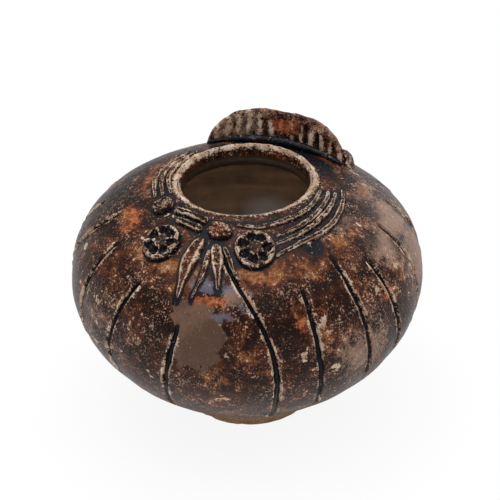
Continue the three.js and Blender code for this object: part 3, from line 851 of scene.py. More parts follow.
def leaf_shape(widest, at, tip):
    """Narrow at the root, widest at a share of the length, drawn out to a tip."""
    def width(share):
        swell = np.where(share < at, np.sin(pi / 2 * (0.35 + 0.65 * share / at)), 1)
        narrowing = np.where(share > at, 1 - smoothstep(share, at, 1.05), 1)
        return np.maximum(tip, widest * swell * narrowing)
    return width


def coil_shape(size):
    """A coil's width or height, which falls off towards both ends."""
    return lambda share: size * np.sqrt(np.maximum(0.35, np.sin(pi * (0.05 + 0.92 * share))))


def strip_shapes(width, height, widest):
    """Width and height of a strip of the face as functions of the share of its length."""
    if widest is None:
        return (lambda share: width + 0 * share), (lambda share: height + 0 * share)
    return leaf_shape(width, widest, width * 0.3), leaf_shape(height, widest, height * 0.35)


def flat_route(route):
    """A route of azimuth and radius as points in plan."""
    return [place(azimuth, radius, 0.0) for azimuth, radius in route]


def strip_gap(x, y, route, width_at):
    """Distance over the shoulder's plan from points to the side of a strip."""
    shares = np.linspace(0, 1, 60)
    at, _along, _total = smooth_curve(flat_route(route), shares)
    gap = np.full(len(x), 9.0)
    for (strip_x, strip_y, _z), width in zip(at, width_at(shares)):
        gap = np.minimum(gap, np.hypot(x - strip_x, y - strip_y) - width / 2)
    return gap


def pad_foreshorten(radius):
    """How much a length down the shoulder shortens when seen from above."""
    step = 0.05
    fall = (shoulder_height(radius) - shoulder_height(radius + step)) / step
    return 1 / np.hypot(1, fall)


def pad_gap(x, y, azimuth, radius, half_width, half_length, turn):
    """Distance over the shoulder's plan from points to the side of a pad."""
    centre = place(azimuth, radius, 0.0)
    swing, spin = radians(azimuth), radians(turn)
    across = (x - centre[0]) * cos(swing) + (y - centre[1]) * sin(swing)
    along = ((y - centre[1]) * cos(swing) - (x - centre[0]) * sin(swing)) / pad_foreshorten(radius)
    u = (across * cos(spin) + along * sin(spin)) / half_width
    v = (along * cos(spin) - across * sin(spin)) / half_length
    return (np.hypot(u, v) - 1) * half_width


def beside_ornament(x, y):
    """1 where the wall touches the luted clay or lies between two pieces of it, falling away outside."""
    gaps = []
    for name, (route, *shape) in STRIPS.items():
        reach = 0.6 if name.startswith("beak") else 1
        gaps.append(strip_gap(x, y, route, strip_shapes(*shape)[0]) * reach)
    gaps += [strip_gap(x, y, route, coil_shape(COIL_WIDTH)) for route in WING_COILS.values()]
    gaps += [pad_gap(x, y, *pad[:5]) for pad in (*ROSETTES.values(), *LUMPS.values())]
    return np.clip(sum(bell(np.maximum(gap, 0), 0, 0.45) for gap in gaps), 0, 1)


def pressed_strip(name, route, width_at, height_at, hollow, seed):
    """A strip of clay along a route, half round, worn along its top and sunk a little into the wall."""
    clay = bpy.context.scene.lime_pot_clay
    wear, seat = clay.wear / MM, clay.seat / MM
    piece, share, turn = lump_of_clay(f"lime_pot_{name}", 40, 120)
    at, along, total = smooth_curve(flat_route(route), share)
    half = width_at(share) / 2
    ends = rounded_ends(share, total, float(np.max(half)) * 1.1)
    over = np.sin(turn)
    side = np.sign(np.cos(turn)) * np.abs(np.cos(turn)) ** 0.75
    across = half * ends * side
    rise = height_at(share) * np.where(over > 0, np.abs(over) ** 0.7, 0) * (0.25 + 0.75 * ends)
    rise *= 1 - hollow * bell(side, 0, 0.42) * ends
    sunk = np.where(over <= 0, 0.45 * over, 0) - seat

    def laid(across, rise):
        return on_shoulder(at[:, 0] - along[:, 1] * across, at[:, 1] + along[:, 0] * across, rise + sunk)

    first = laid(across, rise)
    broken = grain(first, 1.3, seed) + 0.6 * grain(first, 0.55, seed + 4)
    top = smoothstep(rise, 0.15, 0.6)
    across = across * (1 + 0.16 * grain(first, 3.5, seed + 9)) + broken * wear * 0.5 * top
    flare = 0.16 * bell(rise, 0, 0.22) * np.sign(side) * ends
    rise = rise + broken * wear * top
    final = laid(across + flare, rise)
    move_corners(piece, final)

    middle = bell(side, 0, 0.45)
    ridge = np.maximum(bell(np.abs(side), 0.72, 0.22), (0.45 - hollow) * middle) * (over > 0)
    patchy = 1.04 + 0.75 * grain(final, 1.9, seed + 2)
    trough = (hollow - 0.1) * 1.3 * middle * (0.6 + grain(final, 2.5, seed + 6)) * (over > 0)
    foot = bell(np.maximum(rise, 0), 0, 0.3)
    note(piece, edge=ridge * patchy + 0.35 * broken * top, pool=np.maximum(foot, trough), dark=0.5 * middle)
    finish_piece(piece, "thin_glaze", "lime_pot_thin_glaze", name)


def pressed_pad(name, azimuth, radius, half_width, half_length, turn, height_at, fineness, seed):
    """A pad of clay, its height given by the share of its radius and the angle, and what its notes need."""
    clay = bpy.context.scene.lime_pot_clay
    piece, from_top, angle = lump_of_clay(f"lime_pot_{name}", *fineness)
    upper = from_top < 0.5
    share = np.sqrt(np.clip(1 - (1 - 2 * from_top) ** 2, 0, 1))
    wobble = 1 + 0.05 * grain_on(1.0, seed, np.cos(angle) * 2, np.sin(angle) * 2)
    a, b = half_width * share * np.cos(angle) * wobble, half_length * share * np.sin(angle) * wobble
    swing, spin = radians(azimuth), radians(turn)
    pressed_x = a * cos(spin) - b * sin(spin)
    pressed_y = (a * sin(spin) + b * cos(spin)) * pad_foreshorten(radius)
    centre = place(azimuth, radius, 0.0)
    x = centre[0] + pressed_x * cos(swing) - pressed_y * sin(swing)
    y = centre[1] + pressed_x * sin(swing) + pressed_y * cos(swing)
    rise = np.where(upper, height_at(share, angle), -0.5)
    surface = on_shoulder(x, y, rise)
    broken = grain(surface, 1.2, seed + 1) + 0.5 * grain(surface, 0.5, seed + 5)
    worn = broken * clay.wear / MM * 0.55 * smoothstep(rise, 0.1, 0.5)
    move_corners(piece, on_shoulder(x, y, np.where(upper, rise + worn, rise) - clay.seat / MM))
    return piece, share, angle, np.where(upper, rise, 0), broken, upper


# The thrown wall

class ThrownWall:
    """Corners of the thrown wall while it is shaped: where each lies and how the lines run past it."""

    def __init__(self, points, profile, lines, clay):
        self.profile, self.clay = profile, clay
        flat_radius = np.hypot(points[:, 0], points[:, 1])
        self.find_rings(flat_radius, points[:, 2])
        radius, z = self.rounded(self.on_profile)
        self.in_middle = (flat_radius < profile[-1][0] - 0.01) & (self.ring > 0)
        self.radius = np.where(self.ring < 0, 0, np.where(self.in_middle, flat_radius, radius))
        self.z = np.where(self.ring < 0, profile[0][1], z)
        self.outside = (self.ring >= 0) & (self.ring < OUTSIDE_RINGS)
        self.follow_lines(lines, np.degrees(np.arctan2(points[:, 0], -points[:, 1])) % 360)
        self.points = place(self.azimuth, self.radius, self.z)
        self.points[:, 2] += self.lip_lean()
        self.read_marks()

    def find_rings(self, radius, z):
        """Each corner's place along the rings of the profile. Under the foot it is -1."""
        profile = self.profile
        flat = np.stack([radius, z], 1)
        best = np.full(len(z), np.inf)
        ring = np.zeros(len(z))
        for index in range(len(profile) - 1):
            start, way = profile[index], profile[index + 1] - profile[index]
            share = np.clip((flat - start) @ way / (way @ way), 0, 1)
            gap = np.linalg.norm(flat - start - share[:, None] * way, axis=1)
            closer = gap < best - 1e-4
            best[closer] = gap[closer]
            ring[closer] = index + share[closer]
        on_floor = z > FOOT_TOP + 2
        ring[(radius < FLOOR_RADIUS - 0.1) & on_floor] = len(profile)
        ring[(radius < 0.01) & ~on_floor] = -1
        self.ring = ring
        self.on_profile = np.clip(ring, 0, len(profile) - 1)

    def rounded(self, ring):
        """Radius and height of the rounded profile at a place along its rings."""
        index = np.minimum(ring.astype(int), len(self.profile) - 2)
        ends = with_outer_points(self.profile)
        curve = rounded_through(*(ends[index + k] for k in range(4)), (ring - index)[:, None])
        return curve[:, 0], curve[:, 1]

    def normal(self):
        """Radius and height parts of the profile's outward normal."""
        last = len(self.profile) - 1
        before, after = (self.rounded(np.clip(self.on_profile + step, 0, last)) for step in (-0.05, 0.05))
        normal = np.stack([after[1] - before[1], before[0] - after[0]], 1)
        return normal / np.maximum(np.linalg.norm(normal, axis=1, keepdims=True), 1e-9)

    def follow_lines(self, lines, azimuth):
        """Gathers the columns at the lines and measures how far past the nearest line each corner lies."""
        pitch = 360 / len(lines)
        sector = np.minimum((azimuth / pitch).astype(int), len(lines) - 1)
        share = azimuth / pitch - sector
        gathered = GATHERED_COLUMNS / self.clay.columns
        edge = GATHERED_COLUMNS * degrees(GATHERED_PITCH / BODY_RADIUS)
        self.azimuth, self.past, self.strength, self.swell = (np.zeros(len(share)) for _ in range(4))
        for index, line in enumerate(lines):
            mine = sector == index
            last = index + 1 == len(lines)
            following = lines[0 if last else index + 1]
            z, u = self.z[mine], share[mine]
            here = line_azimuth(line, z)
            gap = line_azimuth(following, z) + (360 if last else 0) - here
            after_line = u / gathered * edge
            before_next = gap - (1 - u) / gathered * edge
            between = edge + (u - gathered) / (1 - 2 * gathered) * (gap - 2 * edge)
            offset = np.where(u < gathered, after_line, np.where(u > 1 - gathered, before_next, between))
            closer = offset < gap / 2
            self.azimuth[mine] = here + offset
            turn = np.radians(np.where(closer, offset, offset - gap))
            self.past[mine] = turn * np.maximum(self.radius[mine], 1)
            self.strength[mine] = np.where(closer, line_strength(line, z), line_strength(following, z))
            self.swell[mine] = np.sin(pi * np.clip(offset / np.maximum(gap, 1e-6), 0, 1))

    def lip_lean(self):
        """The lip was rolled unevenly: it stands higher at the back than at the face."""
        facing = 0.5 + 0.5 * np.cos(np.radians(self.azimuth))
        lean = LIP_RISE_BACK - (LIP_RISE_BACK + LIP_DROP_FRONT) * facing
        return lean * smoothstep(self.ring, 24, OUTER_ROLL) * (1 - smoothstep(self.ring, 27, 29))

    def spot(self, azimuth, radius, size):
        """1 at a spot on the shoulder, falling away round it."""
        centre = place(azimuth, radius, shoulder_height(radius))
        return bell(np.linalg.norm(self.points - centre, axis=1), 0, size)

    def read_marks(self):
        """Sets what both the shape and the glaze follow: the lines' lips, the luted clay and the hollow."""
        z = self.points[:, 2]
        self.fine = grain(self.points, 1.6, 21.0)
        self.side = np.sign(self.past)
        self.across = np.abs(self.past)
        self.along_line = grain_on(4.0, 5.0, z, self.azimuth)
        self.side_burr = grain_on(3.0, 13.0, z * 0.8 + self.side * 40, np.round(self.azimuth / 9) * 7)
        widening = 0.95 + 0.15 * smoothstep(-self.z, -56, -34)
        self.half = self.clay.groove_width / MM / 2 * (1 + 0.3 * self.along_line) * widening
        self.beyond = np.maximum(self.across - self.half, 0)
        close = self.outside & (self.z > 50)
        self.beside = np.zeros(len(z))
        self.beside[close] = beside_ornament(self.points[close, 0], self.points[close, 1])
        self.hollow = self.spot(*HOLLOW)
        self.scrap = self.spot(*SCRAP) * (1 + 0.8 * self.fine)

    def shaped(self):
        """The corners with the lines cut, their burrs, the swelling between them and the unevenness."""
        clay, ring, points = self.clay, self.ring, self.points
        depth = clay.groove_depth / MM * self.strength * (1 + 0.25 * self.along_line)
        cut = depth * np.clip(1 - (self.across / self.half) ** 2, 0, 1) ** 0.8
        burr = clay.burr / MM * self.strength * bell(self.across - self.half, 0.22, 0.36)
        burr = burr * np.clip(0.75 + 1.1 * self.side_burr, 0.1, 1.6)
        lobes = clay.lobe / MM * self.swell * smoothstep(self.z, 12, 24) * (1 - smoothstep(self.z, 46, 60))
        lean = grain(points, 26, 3.0) * clay.waver / MM + grain(points, 6.5, 9.0) * 0.07
        on_lip = (ring >= OUTSIDE_RINGS - 1) & (ring < OUTSIDE_RINGS + LIP_RINGS)
        push = np.where(self.outside, lobes + burr - cut + self.fine * 0.035, 0)
        push = push + np.where(ring >= 0, lean * smoothstep(self.radius, 12, 24), 0)
        push = push + np.where(on_lip, self.fine * 0.12 + grain(points, 4.0, 2.0) * 0.12, 0)
        push = push + self.outside * (self.scrap * 0.8 - self.hollow * 0.45 - self.beside * 0.12)
        push = np.where((ring >= OUTSIDE_RINGS + LIP_RINGS) | self.in_middle, 0, push)

        normal = self.normal()
        moved = points + place(self.azimuth, 1.0, 0.0) * (push * normal[:, 0])[:, None]
        moved[:, 2] += push * normal[:, 1]
        moved[:, 2] = np.where(ring < 0.01, self.profile[0][1], moved[:, 2])
        return moved

    def pool(self):
        """Blue-black glaze in the lines, round the luted clay, in the channel round the lip and behind it."""
        high = self.z > 55
        groove = self.strength * bell(self.across, 0, self.half * 0.85, power=4)
        groove = groove * (0.95 + 0.5 * self.along_line)
        channel_radius = np.interp((self.azimuth + 180) % 360 - 180, *np.transpose(CHANNEL))
        channel = bell(self.radius, channel_radius, 0.42) * high * (0.8 + 0.6 * grain(self.points, 3.0, 33.0))
        behind = smoothstep(np.cos(np.radians(self.azimuth - 172)), 0.3, 0.75)
        valley = bell(self.radius, 21.6, 2.6) * behind * high * (0.9 + 0.5 * grain(self.points, 4.0, 37.0))
        pressed = np.maximum(self.beside, self.hollow * 1.7 - self.scrap * 1.6)
        return self.outside * np.maximum.reduce([groove, channel, valley, pressed])

    def edge(self):
        """Bare clay beside the lines, on the rolls of the lip and on the scrap in the hollow."""
        reach = 0.22 + 0.75 * np.clip(0.35 + 0.06 * self.side + self.side_burr, 0, 1)
        reach = reach + 0.25 * np.clip(self.fine, 0, 1)
        worn = bell(self.beyond, 0, reach) * (self.across > 0.8 * self.half)
        line = self.strength * worn * np.clip(0.68 + 0.1 * (self.side < 0) + 0.8 * self.side_burr, 0, 1)
        rolls = bell(self.ring, OUTER_ROLL, 0.5) + 0.85 * bell(self.ring, INNER_ROLL, 0.45)
        rims = rolls * (0.84 + 0.7 * grain(self.points, 2.2, 35.0))
        rims = rims + 0.68 * smoothstep(self.ring, 23.6, 24.1) * (self.ring < INNER_ROLL)
        return np.maximum.reduce([self.outside * line, rims, self.scrap * self.outside * 0.8])

    def patches(self):
        """How strongly each kind of patch covers each corner. The glaze is amber beside the lines too."""
        rings = self.profile[:OUTSIDE_RINGS]
        way = np.concatenate([[0], np.cumsum(np.linalg.norm(np.diff(rings, axis=0), axis=1))])
        down = np.interp(self.z, rings[:, 1], way)
        halo = self.strength * bell(self.beyond, 0, 1.8) * np.clip(0.55 + self.side_burr, 0, 1)
        covers = {kind: 0 * self.z for kind in PATCHES}
        covers["amber"] = halo * 0.6
        for kind, places in PATCHES.items():
            for azimuth, z, half_width, half_length, strength in places:
                turned = (self.azimuth - azimuth + 180) % 360 - 180
                sideways = np.radians(turned) * self.radius / half_width
                lengthways = (down - np.interp(z, rings[:, 1], way)) / half_length
                cover = strength * np.exp(-0.7 * (sideways**2 + lengthways**2))
                covers[kind] = np.maximum(covers[kind], cover)
        return {kind: cover * self.outside for kind, cover in covers.items()}


# Operators

class LimePotBody(bpy.types.Operator):
    """Thrown pot with its incised lines, rolled lip and hollow"""

    bl_idname = "lime_pot.body"
    bl_label = "Thrown body"

    def execute(self, context):
        clay = context.scene.lime_pot_clay
        lines = incised_lines()
        profile = thrown_profile()
        piece = self.raise_wall(profile, len(lines) * clay.columns // 4)
        wall = ThrownWall(corners(piece), profile, lines, clay)
        move_corners(piece, wall.shaped())
        note(piece, pool=wall.pool(), edge=wall.edge(), **wall.patches())
        piece.data.materials.append(material("lime_pot_glaze"))
        piece.data.materials.append(material("lime_pot_inside"))
        past_lip = wall.ring >= OUTSIDE_RINGS + LIP_RINGS - 1.3
        for face in piece.data.polygons:
            if all(past_lip[corner] for corner in face.vertices):
                face.material_index = 1
        finish_piece(piece, "brown_glaze", "lime_pot_glaze", "pot_body")
        return {"FINISHED"}

    def raise_wall(self, profile, columns):
        """Draws the wall up ring by ring, closes its two middles and splits its faces twice."""
        clear_selection()
        (radius, z) = profile[0] * MM
        bpy.ops.mesh.primitive_circle_add(
            vertices=columns, radius=radius, location=(0, 0, z), rotation=(0, 0, -pi / 2)
        )
        piece = named("lime_pot_body")
        bpy.ops.object.transform_apply(location=True, rotation=True, scale=True)
        bpy.ops.object.mode_set(mode="EDIT")
        bpy.ops.mesh.select_all(action="SELECT")
        for (from_radius, from_z), (to_radius, to_z) in zip(profile * MM, profile[1:] * MM):
            bpy.ops.mesh.extrude_region_move(TRANSFORM_OT_translate={"value": (0, 0, to_z - from_z)})
            ratio = to_radius / from_radius
            bpy.ops.transform.resize(value=(ratio, ratio, 1), center_override=(0, 0, to_z))
        self.close_middle()
        bpy.ops.object.mode_set(mode="OBJECT")
        split_faces(piece, 2)
        # The underside is closed last, so that its fan stays flat
        bpy.ops.object.mode_set(mode="EDIT")
        bpy.ops.mesh.select_all(action="DESELECT")
        bpy.ops.mesh.select_mode(type="EDGE")
        bpy.ops.mesh.select_non_manifold()
        self.close_middle()
        bpy.ops.mesh.select_mode(type="VERT")
        bpy.ops.object.mode_set(mode="OBJECT")
        return piece

    def close_middle(self):
        """Draws the selected ring together to one corner."""
        bpy.ops.mesh.extrude_region_move(TRANSFORM_OT_translate={"value": (0, 0, 0)})
        bpy.ops.mesh.merge(type="CENTER")


class LimePotFoot(bpy.types.Operator):
    """Flat turned foot of bare clay with a chipped edge"""

    bl_idname = "lime_pot.foot"
    bl_label = "Foot"

    def execute(self, context):
        clear_selection()
        height = FOOT_TOP + 0.4
        bpy.ops.mesh.primitive_cylinder_add(
            vertices=96,
            radius=FOOT_RADIUS * MM,
            depth=height * MM,
            location=(0, 0, height / 2 * MM),
            end_fill_type="NGON",
        )
        piece = named("lime_pot_foot")
        bpy.ops.object.transform_apply(location=True, rotation=True, scale=True)
        self.start_selection("FACE")
        for face in piece.data.polygons:
            face.select = abs(face.normal.z) > 0.9
        bpy.ops.object.mode_set(mode="EDIT")
        for thickness in FOOT_INSETS:
            bpy.ops.mesh.inset(thickness=thickness * MM)
        bpy.ops.mesh.poke()
        self.start_selection("EDGE")
        for edge in piece.data.edges:
            first, second = (piece.data.vertices[index].co for index in edge.vertices)
            edge.select = abs(first.z - second.z) > 1 * MM
        bpy.ops.object.mode_set(mode="EDIT")
        bpy.ops.mesh.subdivide_edgering(number_cuts=9)
        bpy.ops.object.mode_set(mode="OBJECT")
        split_faces(piece, 1)
        move_corners(piece, self.turned(corners(piece), height))
        finish_piece(piece, "bare_clay", "lime_pot_bare_clay", "foot_disc")
        return {"FINISHED"}

    def start_selection(self, kind):
        """Leaves nothing selected and object mode on, ready for faces or edges to be picked."""
        bpy.ops.object.mode_set(mode="EDIT")
        bpy.ops.mesh.select_all(action="DESELECT")
        bpy.ops.mesh.select_mode(type=kind)
        bpy.ops.object.mode_set(mode="OBJECT")

    def turned(self, points, height):
        """Rounds the lower edge, roughens the side, knocks chips from the edge and hollows the underside."""
        radius = np.hypot(points[:, 0], points[:, 1])
        azimuth = np.degrees(np.arctan2(points[:, 0], -points[:, 1]))
        level = points[:, 2] / height
        bevel = 0.22 * np.clip(1 - points[:, 2] / 0.6, 0, 1) ** 1.6
        rough = grain(points, 5.0, 4.0) * 0.16 + grain(points, 1.1, 6.0) * 0.09
        waist = 0.2 * np.sin(pi * np.clip(level, 0, 1))
        chips = np.zeros(len(points))
        for chip_azimuth, half_width, depth in FOOT_CHIPS:
            chips += depth * bell((azimuth - chip_azimuth + 180) % 360 - 180, 0, half_width)
        chips *= smoothstep(1 - level, 0.25, 1.0) + 0.35 * smoothstep(level, 0.5, 1)
        on_side = smoothstep(radius, FOOT_RADIUS - 1.2, FOOT_RADIUS - 0.2)
        ratio = (radius + on_side * (rough - waist - bevel - chips)) / np.maximum(radius, 1e-6)
        points[:, :2] *= ratio[:, None]
        dish = 0.5 * (1 - smoothstep(radius, 6, 12))
        points[:, 2] = np.where(points[:, 2] < 0.01, dish, points[:, 2])
        return points


class LimePotStrips(bpy.types.Operator):
    """Brow strips and the leaves and rib of the beak"""

    bl_idname = "lime_pot.strips"
    bl_label = "Brow and beak"

    def execute(self, context):
        for index, (name, (route, *shape)) in enumerate(STRIPS.items()):
            hollow = 0.45 if name.startswith(("beak_leaf", "brow")) else 0.0
            pressed_strip(name, route, *strip_shapes(*shape), hollow, 10 + 3 * index)
        return {"FINISHED"}


class LimePotWings(bpy.types.Operator):
    """Coils laid round the mouth like folded wings"""

    bl_idname = "lime_pot.wings"
    bl_label = "Wing coils"

    def execute(self, context):
        for index, (name, route) in enumerate(WING_COILS.items()):
            pressed_strip(name, route, coil_shape(COIL_WIDTH), coil_shape(COIL_HEIGHT), 0.15, 40 + 5 * index)
        return {"FINISHED"}


class LimePotRosettes(bpy.types.Operator):
    """Flower discs with a raised border, a boss and a ring of pits pressed with a stick"""

    bl_idname = "lime_pot.rosettes"
    bl_label = "Rosettes"

    thickness = 2.0
    reach = 5.0
    pits = 7
    pit_ring = 2.9
    pit_radius = 1.32
    pit_depth = 1.3

    def execute(self, context):
        for index, (name, pad) in enumerate(ROSETTES.items()):
            piece, share, angle, _rise, broken, upper = pressed_pad(
                name, *pad, self.relief, (112, 110), 60 + 7 * index
            )
            pit = self.pit_share(share, angle)
            near_pits = smoothstep(share, 0.22, 0.36) * (1 - smoothstep(share, 0.84, 0.92))
            border = bell(share, 0.91, 0.05) * (0.72 + 0.7 * broken)
            walls = bell(pit, 0.02, 0.14) * near_pits * (0.5 + 0.6 * broken)
            boss = bell(share, 0, 0.16) * 0.35 * (0.6 + broken)
            side_wall = smoothstep(share, 0.955, 0.985)
            worn = 0.45 * (1 - smoothstep(share, 0.2, 0.8)) * (0.5 + grain(corners(piece), 2.2, 71.0))
            note(
                piece,
                edge=np.maximum.reduce([border, walls, boss]) * upper * (1 - side_wall),
                pool=np.maximum.reduce([smoothstep(pit, 0.08, 0.4) * 1.1, side_wall, worn]) * upper,
                dark=0.3,
            )
            finish_piece(piece, "thin_glaze", "lime_pot_thin_glaze", name)
        return {"FINISHED"}

    def pit_share(self, share, angle):
        """1 in the middle of a pit, 0 outside."""
        reach = share * self.reach
        pitch = 2 * pi / self.pits
        offset = angle - pitch * np.round(angle / pitch)
        to_pit = np.hypot(reach * np.cos(offset) - self.pit_ring, reach * np.sin(offset))
        ragged = 0.12 * np.sin(5 * angle + 1.3) + 0.08 * np.sin(11 * angle)
        return np.clip(1 - (to_pit / (self.pit_radius * (1 + ragged))) ** 2, 0, 1)

    def relief(self, share, angle):
        """Height of the disc: a rounded edge, a border, a boss and the pits."""
        rounding = np.sqrt(np.clip(1 - share**10, 0, 1))
        border = 0.5 * bell(share, 0.89, 0.09)
        raised = (self.thickness - 0.5 + border) * rounding + 0.25 * bell(share, 0, 0.2)
        return np.maximum(0.1, raised - self.pit_depth * self.pit_share(share, angle))


class LimePotLumps(bpy.types.Operator):
    """Knot over the beak and tuft behind the left rosette"""

    bl_idname = "lime_pot.lumps"
    bl_label = "Knot and tuft"

    def execute(self, context):
        for index, (name, (*pad, peak)) in enumerate(LUMPS.items()):
            def dome(share, angle):
                swell = np.sin(pi * share)
                folds = 0.16 * np.sin(3 * angle + 2 * index) * swell + 0.1 * np.sin(7 * angle) * swell**2
                return peak * np.sqrt(np.clip(1 - share**2.4, 0.0, 1)) * (1 + folds)
            pressed = pressed_pad(name, *pad, dome, (72, 72), 80 + 9 * index)
            piece, _share, _angle, rise, broken, upper = pressed
            note(
                piece,
                edge=(0.36 + 0.4 * broken) * smoothstep(rise, 0.5, 1.5) * upper,
                pool=np.maximum(bell(rise, 0, 0.45), 0.55 - 4 * np.abs(broken)) * upper,
                blush=(0.6 + 0.4 * broken) * smoothstep(rise, 0.8, 1.8) * (name == "forehead_knot"),
                dark=0.3,
            )
            finish_piece(piece, "thin_glaze", "lime_pot_thin_glaze", name)
        return {"FINISHED"}


def crest_outline(along):
    """Height of the crest along it: a slight dip, a blunt fall at each end and a low nub at the right."""
    reach, blunt, taper = (np.where(along < 0, a, b) for a, b in zip(CREST_LEFT_END, CREST_RIGHT_END))
    slab = CREST_HEIGHT * np.clip(1 - np.abs(along / reach) ** blunt, 0, 1) ** taper
    from_nub = np.abs(along * CREST_HALF_CHORD - CREST_NUB_AT) / CREST_NUB_REACH
    nub = CREST_NUB_HEIGHT * np.sqrt(np.clip(1 - from_nub**3, 0, 1))
    return np.maximum(slab - CREST_DIP * bell(along, 0.12, 0.2), nub)


def crest_point(along, across, lift):
    """A point of the bent crest: along it, across its thickness and above the shoulder."""
    swing = (along * CREST_HALF_CHORD + CREST_OFFSET) / CREST_BEND_RADIUS
    reach = CREST_BEND_RADIUS + across
    x, y = reach * np.sin(swing), CREST_DISTANCE - CREST_BEND_RADIUS + reach * np.cos(swing)
    turn = radians(CREST_TURN)
    x, y = x * cos(turn) - y * sin(turn), x * sin(turn) + y * cos(turn)
    points = on_shoulder(x, y, 0 * x)
    points[..., 2] += lift
    return points


class LimePotCrest(bpy.types.Operator):
    """Fluted slab that stands behind the mouth"""

    bl_idname = "lime_pot.crest"
    bl_label = "Crest"

    def execute(self, context):
        clay = context.scene.lime_pot_clay
        piece, share, turn = lump_of_clay("lime_pot_crest", 72, 300)
        along = CREST_FROM + CREST_SPAN * share
        ends = rounded_ends(share, CREST_LENGTH, END_ROUNDING)
        up, side = np.sin(turn), -np.cos(turn)
        level = 0.5 + 0.5 * np.sign(up) * np.abs(up) ** 0.8
        front = np.clip(-side, 0, 1) ** 0.3
        thick = CREST_THICKNESS + (CREST_TOP_THICKNESS - CREST_THICKNESS) * level
        across = thick / 2 * np.sign(side) * np.abs(side) ** 0.42 * ends

        # The flutes wander a little and none is as deep as the next
        flute = (along - FLUTES_FROM) / FLUTES_SPAN * FLUTES
        wave = 0.5 - 0.5 * np.cos(2 * pi * (flute + 0.22 * grain_on(1.0, 4.0, flute, level * 2)))
        fluted = front * smoothstep(level, 0.06, 0.2) * (1 - smoothstep(level, 0.62, 0.84))
        depth = clay.flute_depth / MM * (0.8 + 0.5 * grain_on(1.0, 8.0, np.floor(flute + 0.5) * 3.1, level))
        across = across + depth * wave * fluted
        lift = -0.5 + (crest_outline(along) + 0.35) * level * (0.15 + 0.85 * ends)
        points = crest_point(along, across, lift)
        knead = grain(points, 3.2, 12.0) * 0.16 + grain(points, 1.2, 15.0) * 0.08
        lift = lift + knead * smoothstep(level, 0.6, 1.0) * 1.3
        points = crest_point(along, across + knead * np.sign(side), lift)
        move_corners(piece, points)

        # Its left end is worn, and the glaze is warm in the middle of the front
        broken = grain(points, 1.1, 18.0) + 0.5 * grain(points, 0.5, 19.0)
        worn_end = 1 - smoothstep(along, -0.35, -0.15)
        top = 0.66 + 0.3 * worn_end
        warm = bell(along, 0.1, 0.22) * smoothstep(level, 0.3, 0.5)
        warm = warm * (1 - smoothstep(level, 0.7, 0.9)) * front
        ribs = (1 - wave) ** 1.7 * (1 - 0.15 * worn_end) * front
        ribs = ribs * smoothstep(level, 0.08, 0.2) * (1 - smoothstep(level, top, top + 0.16))
        ribs = ribs * (0.9 + 0.7 * broken + 0.5 * grain(points, 3.0, 41.0)) * (1 - 0.6 * warm)
        mottled = worn_end * front * smoothstep(level, 0.3, 0.6) * 0.3
        nub = 0.3 * smoothstep(along, 0.88, 0.96) * (0.7 + broken)
        deep = wave**1.5 * fluted * (0.5 + 0.5 * grain(points, 2.4, 27.0))
        deep = deep * (1 - 0.8 * warm) * (1 - 0.15 * worn_end)
        note(
            piece,
            edge=ribs + mottled + nub,
            pool=np.maximum(deep, 1 - smoothstep(level, 0.12, 0.26)),
            blush=np.maximum(1.3 * warm, 0.3 * smoothstep(level, 0.8, 0.95) * (1 - worn_end)),
            # Grey film of wear and painted sheen, at the worn end and towards the top
            haze=np.maximum(0.8 * worn_end * front, 0.5 * smoothstep(level, 0.55, 0.8)),
            amber=0.3,
        )
        finish_piece(piece, "thin_glaze", "lime_pot_crest_glaze", "tail_crest")
        return {"FINISHED"}


class LimePotRootCoil(bpy.types.Operator):
    """Roll of clay in the corner between the crest and the shoulder"""

    bl_idname = "lime_pot.root_coil"
    bl_label = "Crest root"

    def execute(self, context):
        clay = context.scene.lime_pot_clay
        piece, share, turn = lump_of_clay("lime_pot_crest_root", 48, 200)
        up, back = np.sin(turn), np.cos(turn)
        along = ROOT_COIL_FROM + ROOT_COIL_SPAN * share
        ends = rounded_ends(share, ROOT_COIL_LENGTH, END_ROUNDING)
        taper = np.sqrt(np.maximum(0.12, np.sin(pi * (0.06 + 0.88 * share))))
        radius = ROOT_COIL_RADIUS * taper * ends
        centre = -CREST_THICKNESS / 2 - ROOT_COIL_RADIUS * taper * 0.6
        lift = ROOT_COIL_RADIUS * taper * 0.7 - clay.seat / MM + 1.15 * radius * up
        points = crest_point(along, centre + radius * back * 1.1, lift)
        knead = (grain(points, 2.6, 22.0) * 0.16 + grain(points, 0.9, 25.0) * 0.07) * ends
        points = crest_point(along, centre + (radius + knead) * back * 1.1, lift + knead * up)
        move_corners(piece, points)
        broken = grain(points, 1.2, 28.0)
        note(
            piece,
            edge=smoothstep(up, 0.1, 0.8) * smoothstep(-back, -0.4, 0.6) * (0.1 + 0.5 * broken),
            pool=0.92 + 0.4 * broken - 0.7 * np.clip(grain(points, 5.0, 34.0), 0, 1),
            # A painted blue-grey highlight along the top of the roll, in the milky colour
            milky=smoothstep(up, 0.0, 0.7) * (0.75 + 0.9 * grain(points, 4.0, 31.0)),
        )
        finish_piece(piece, "brown_glaze", "lime_pot_glaze", "crest_root_coil")
        return {"FINISHED"}


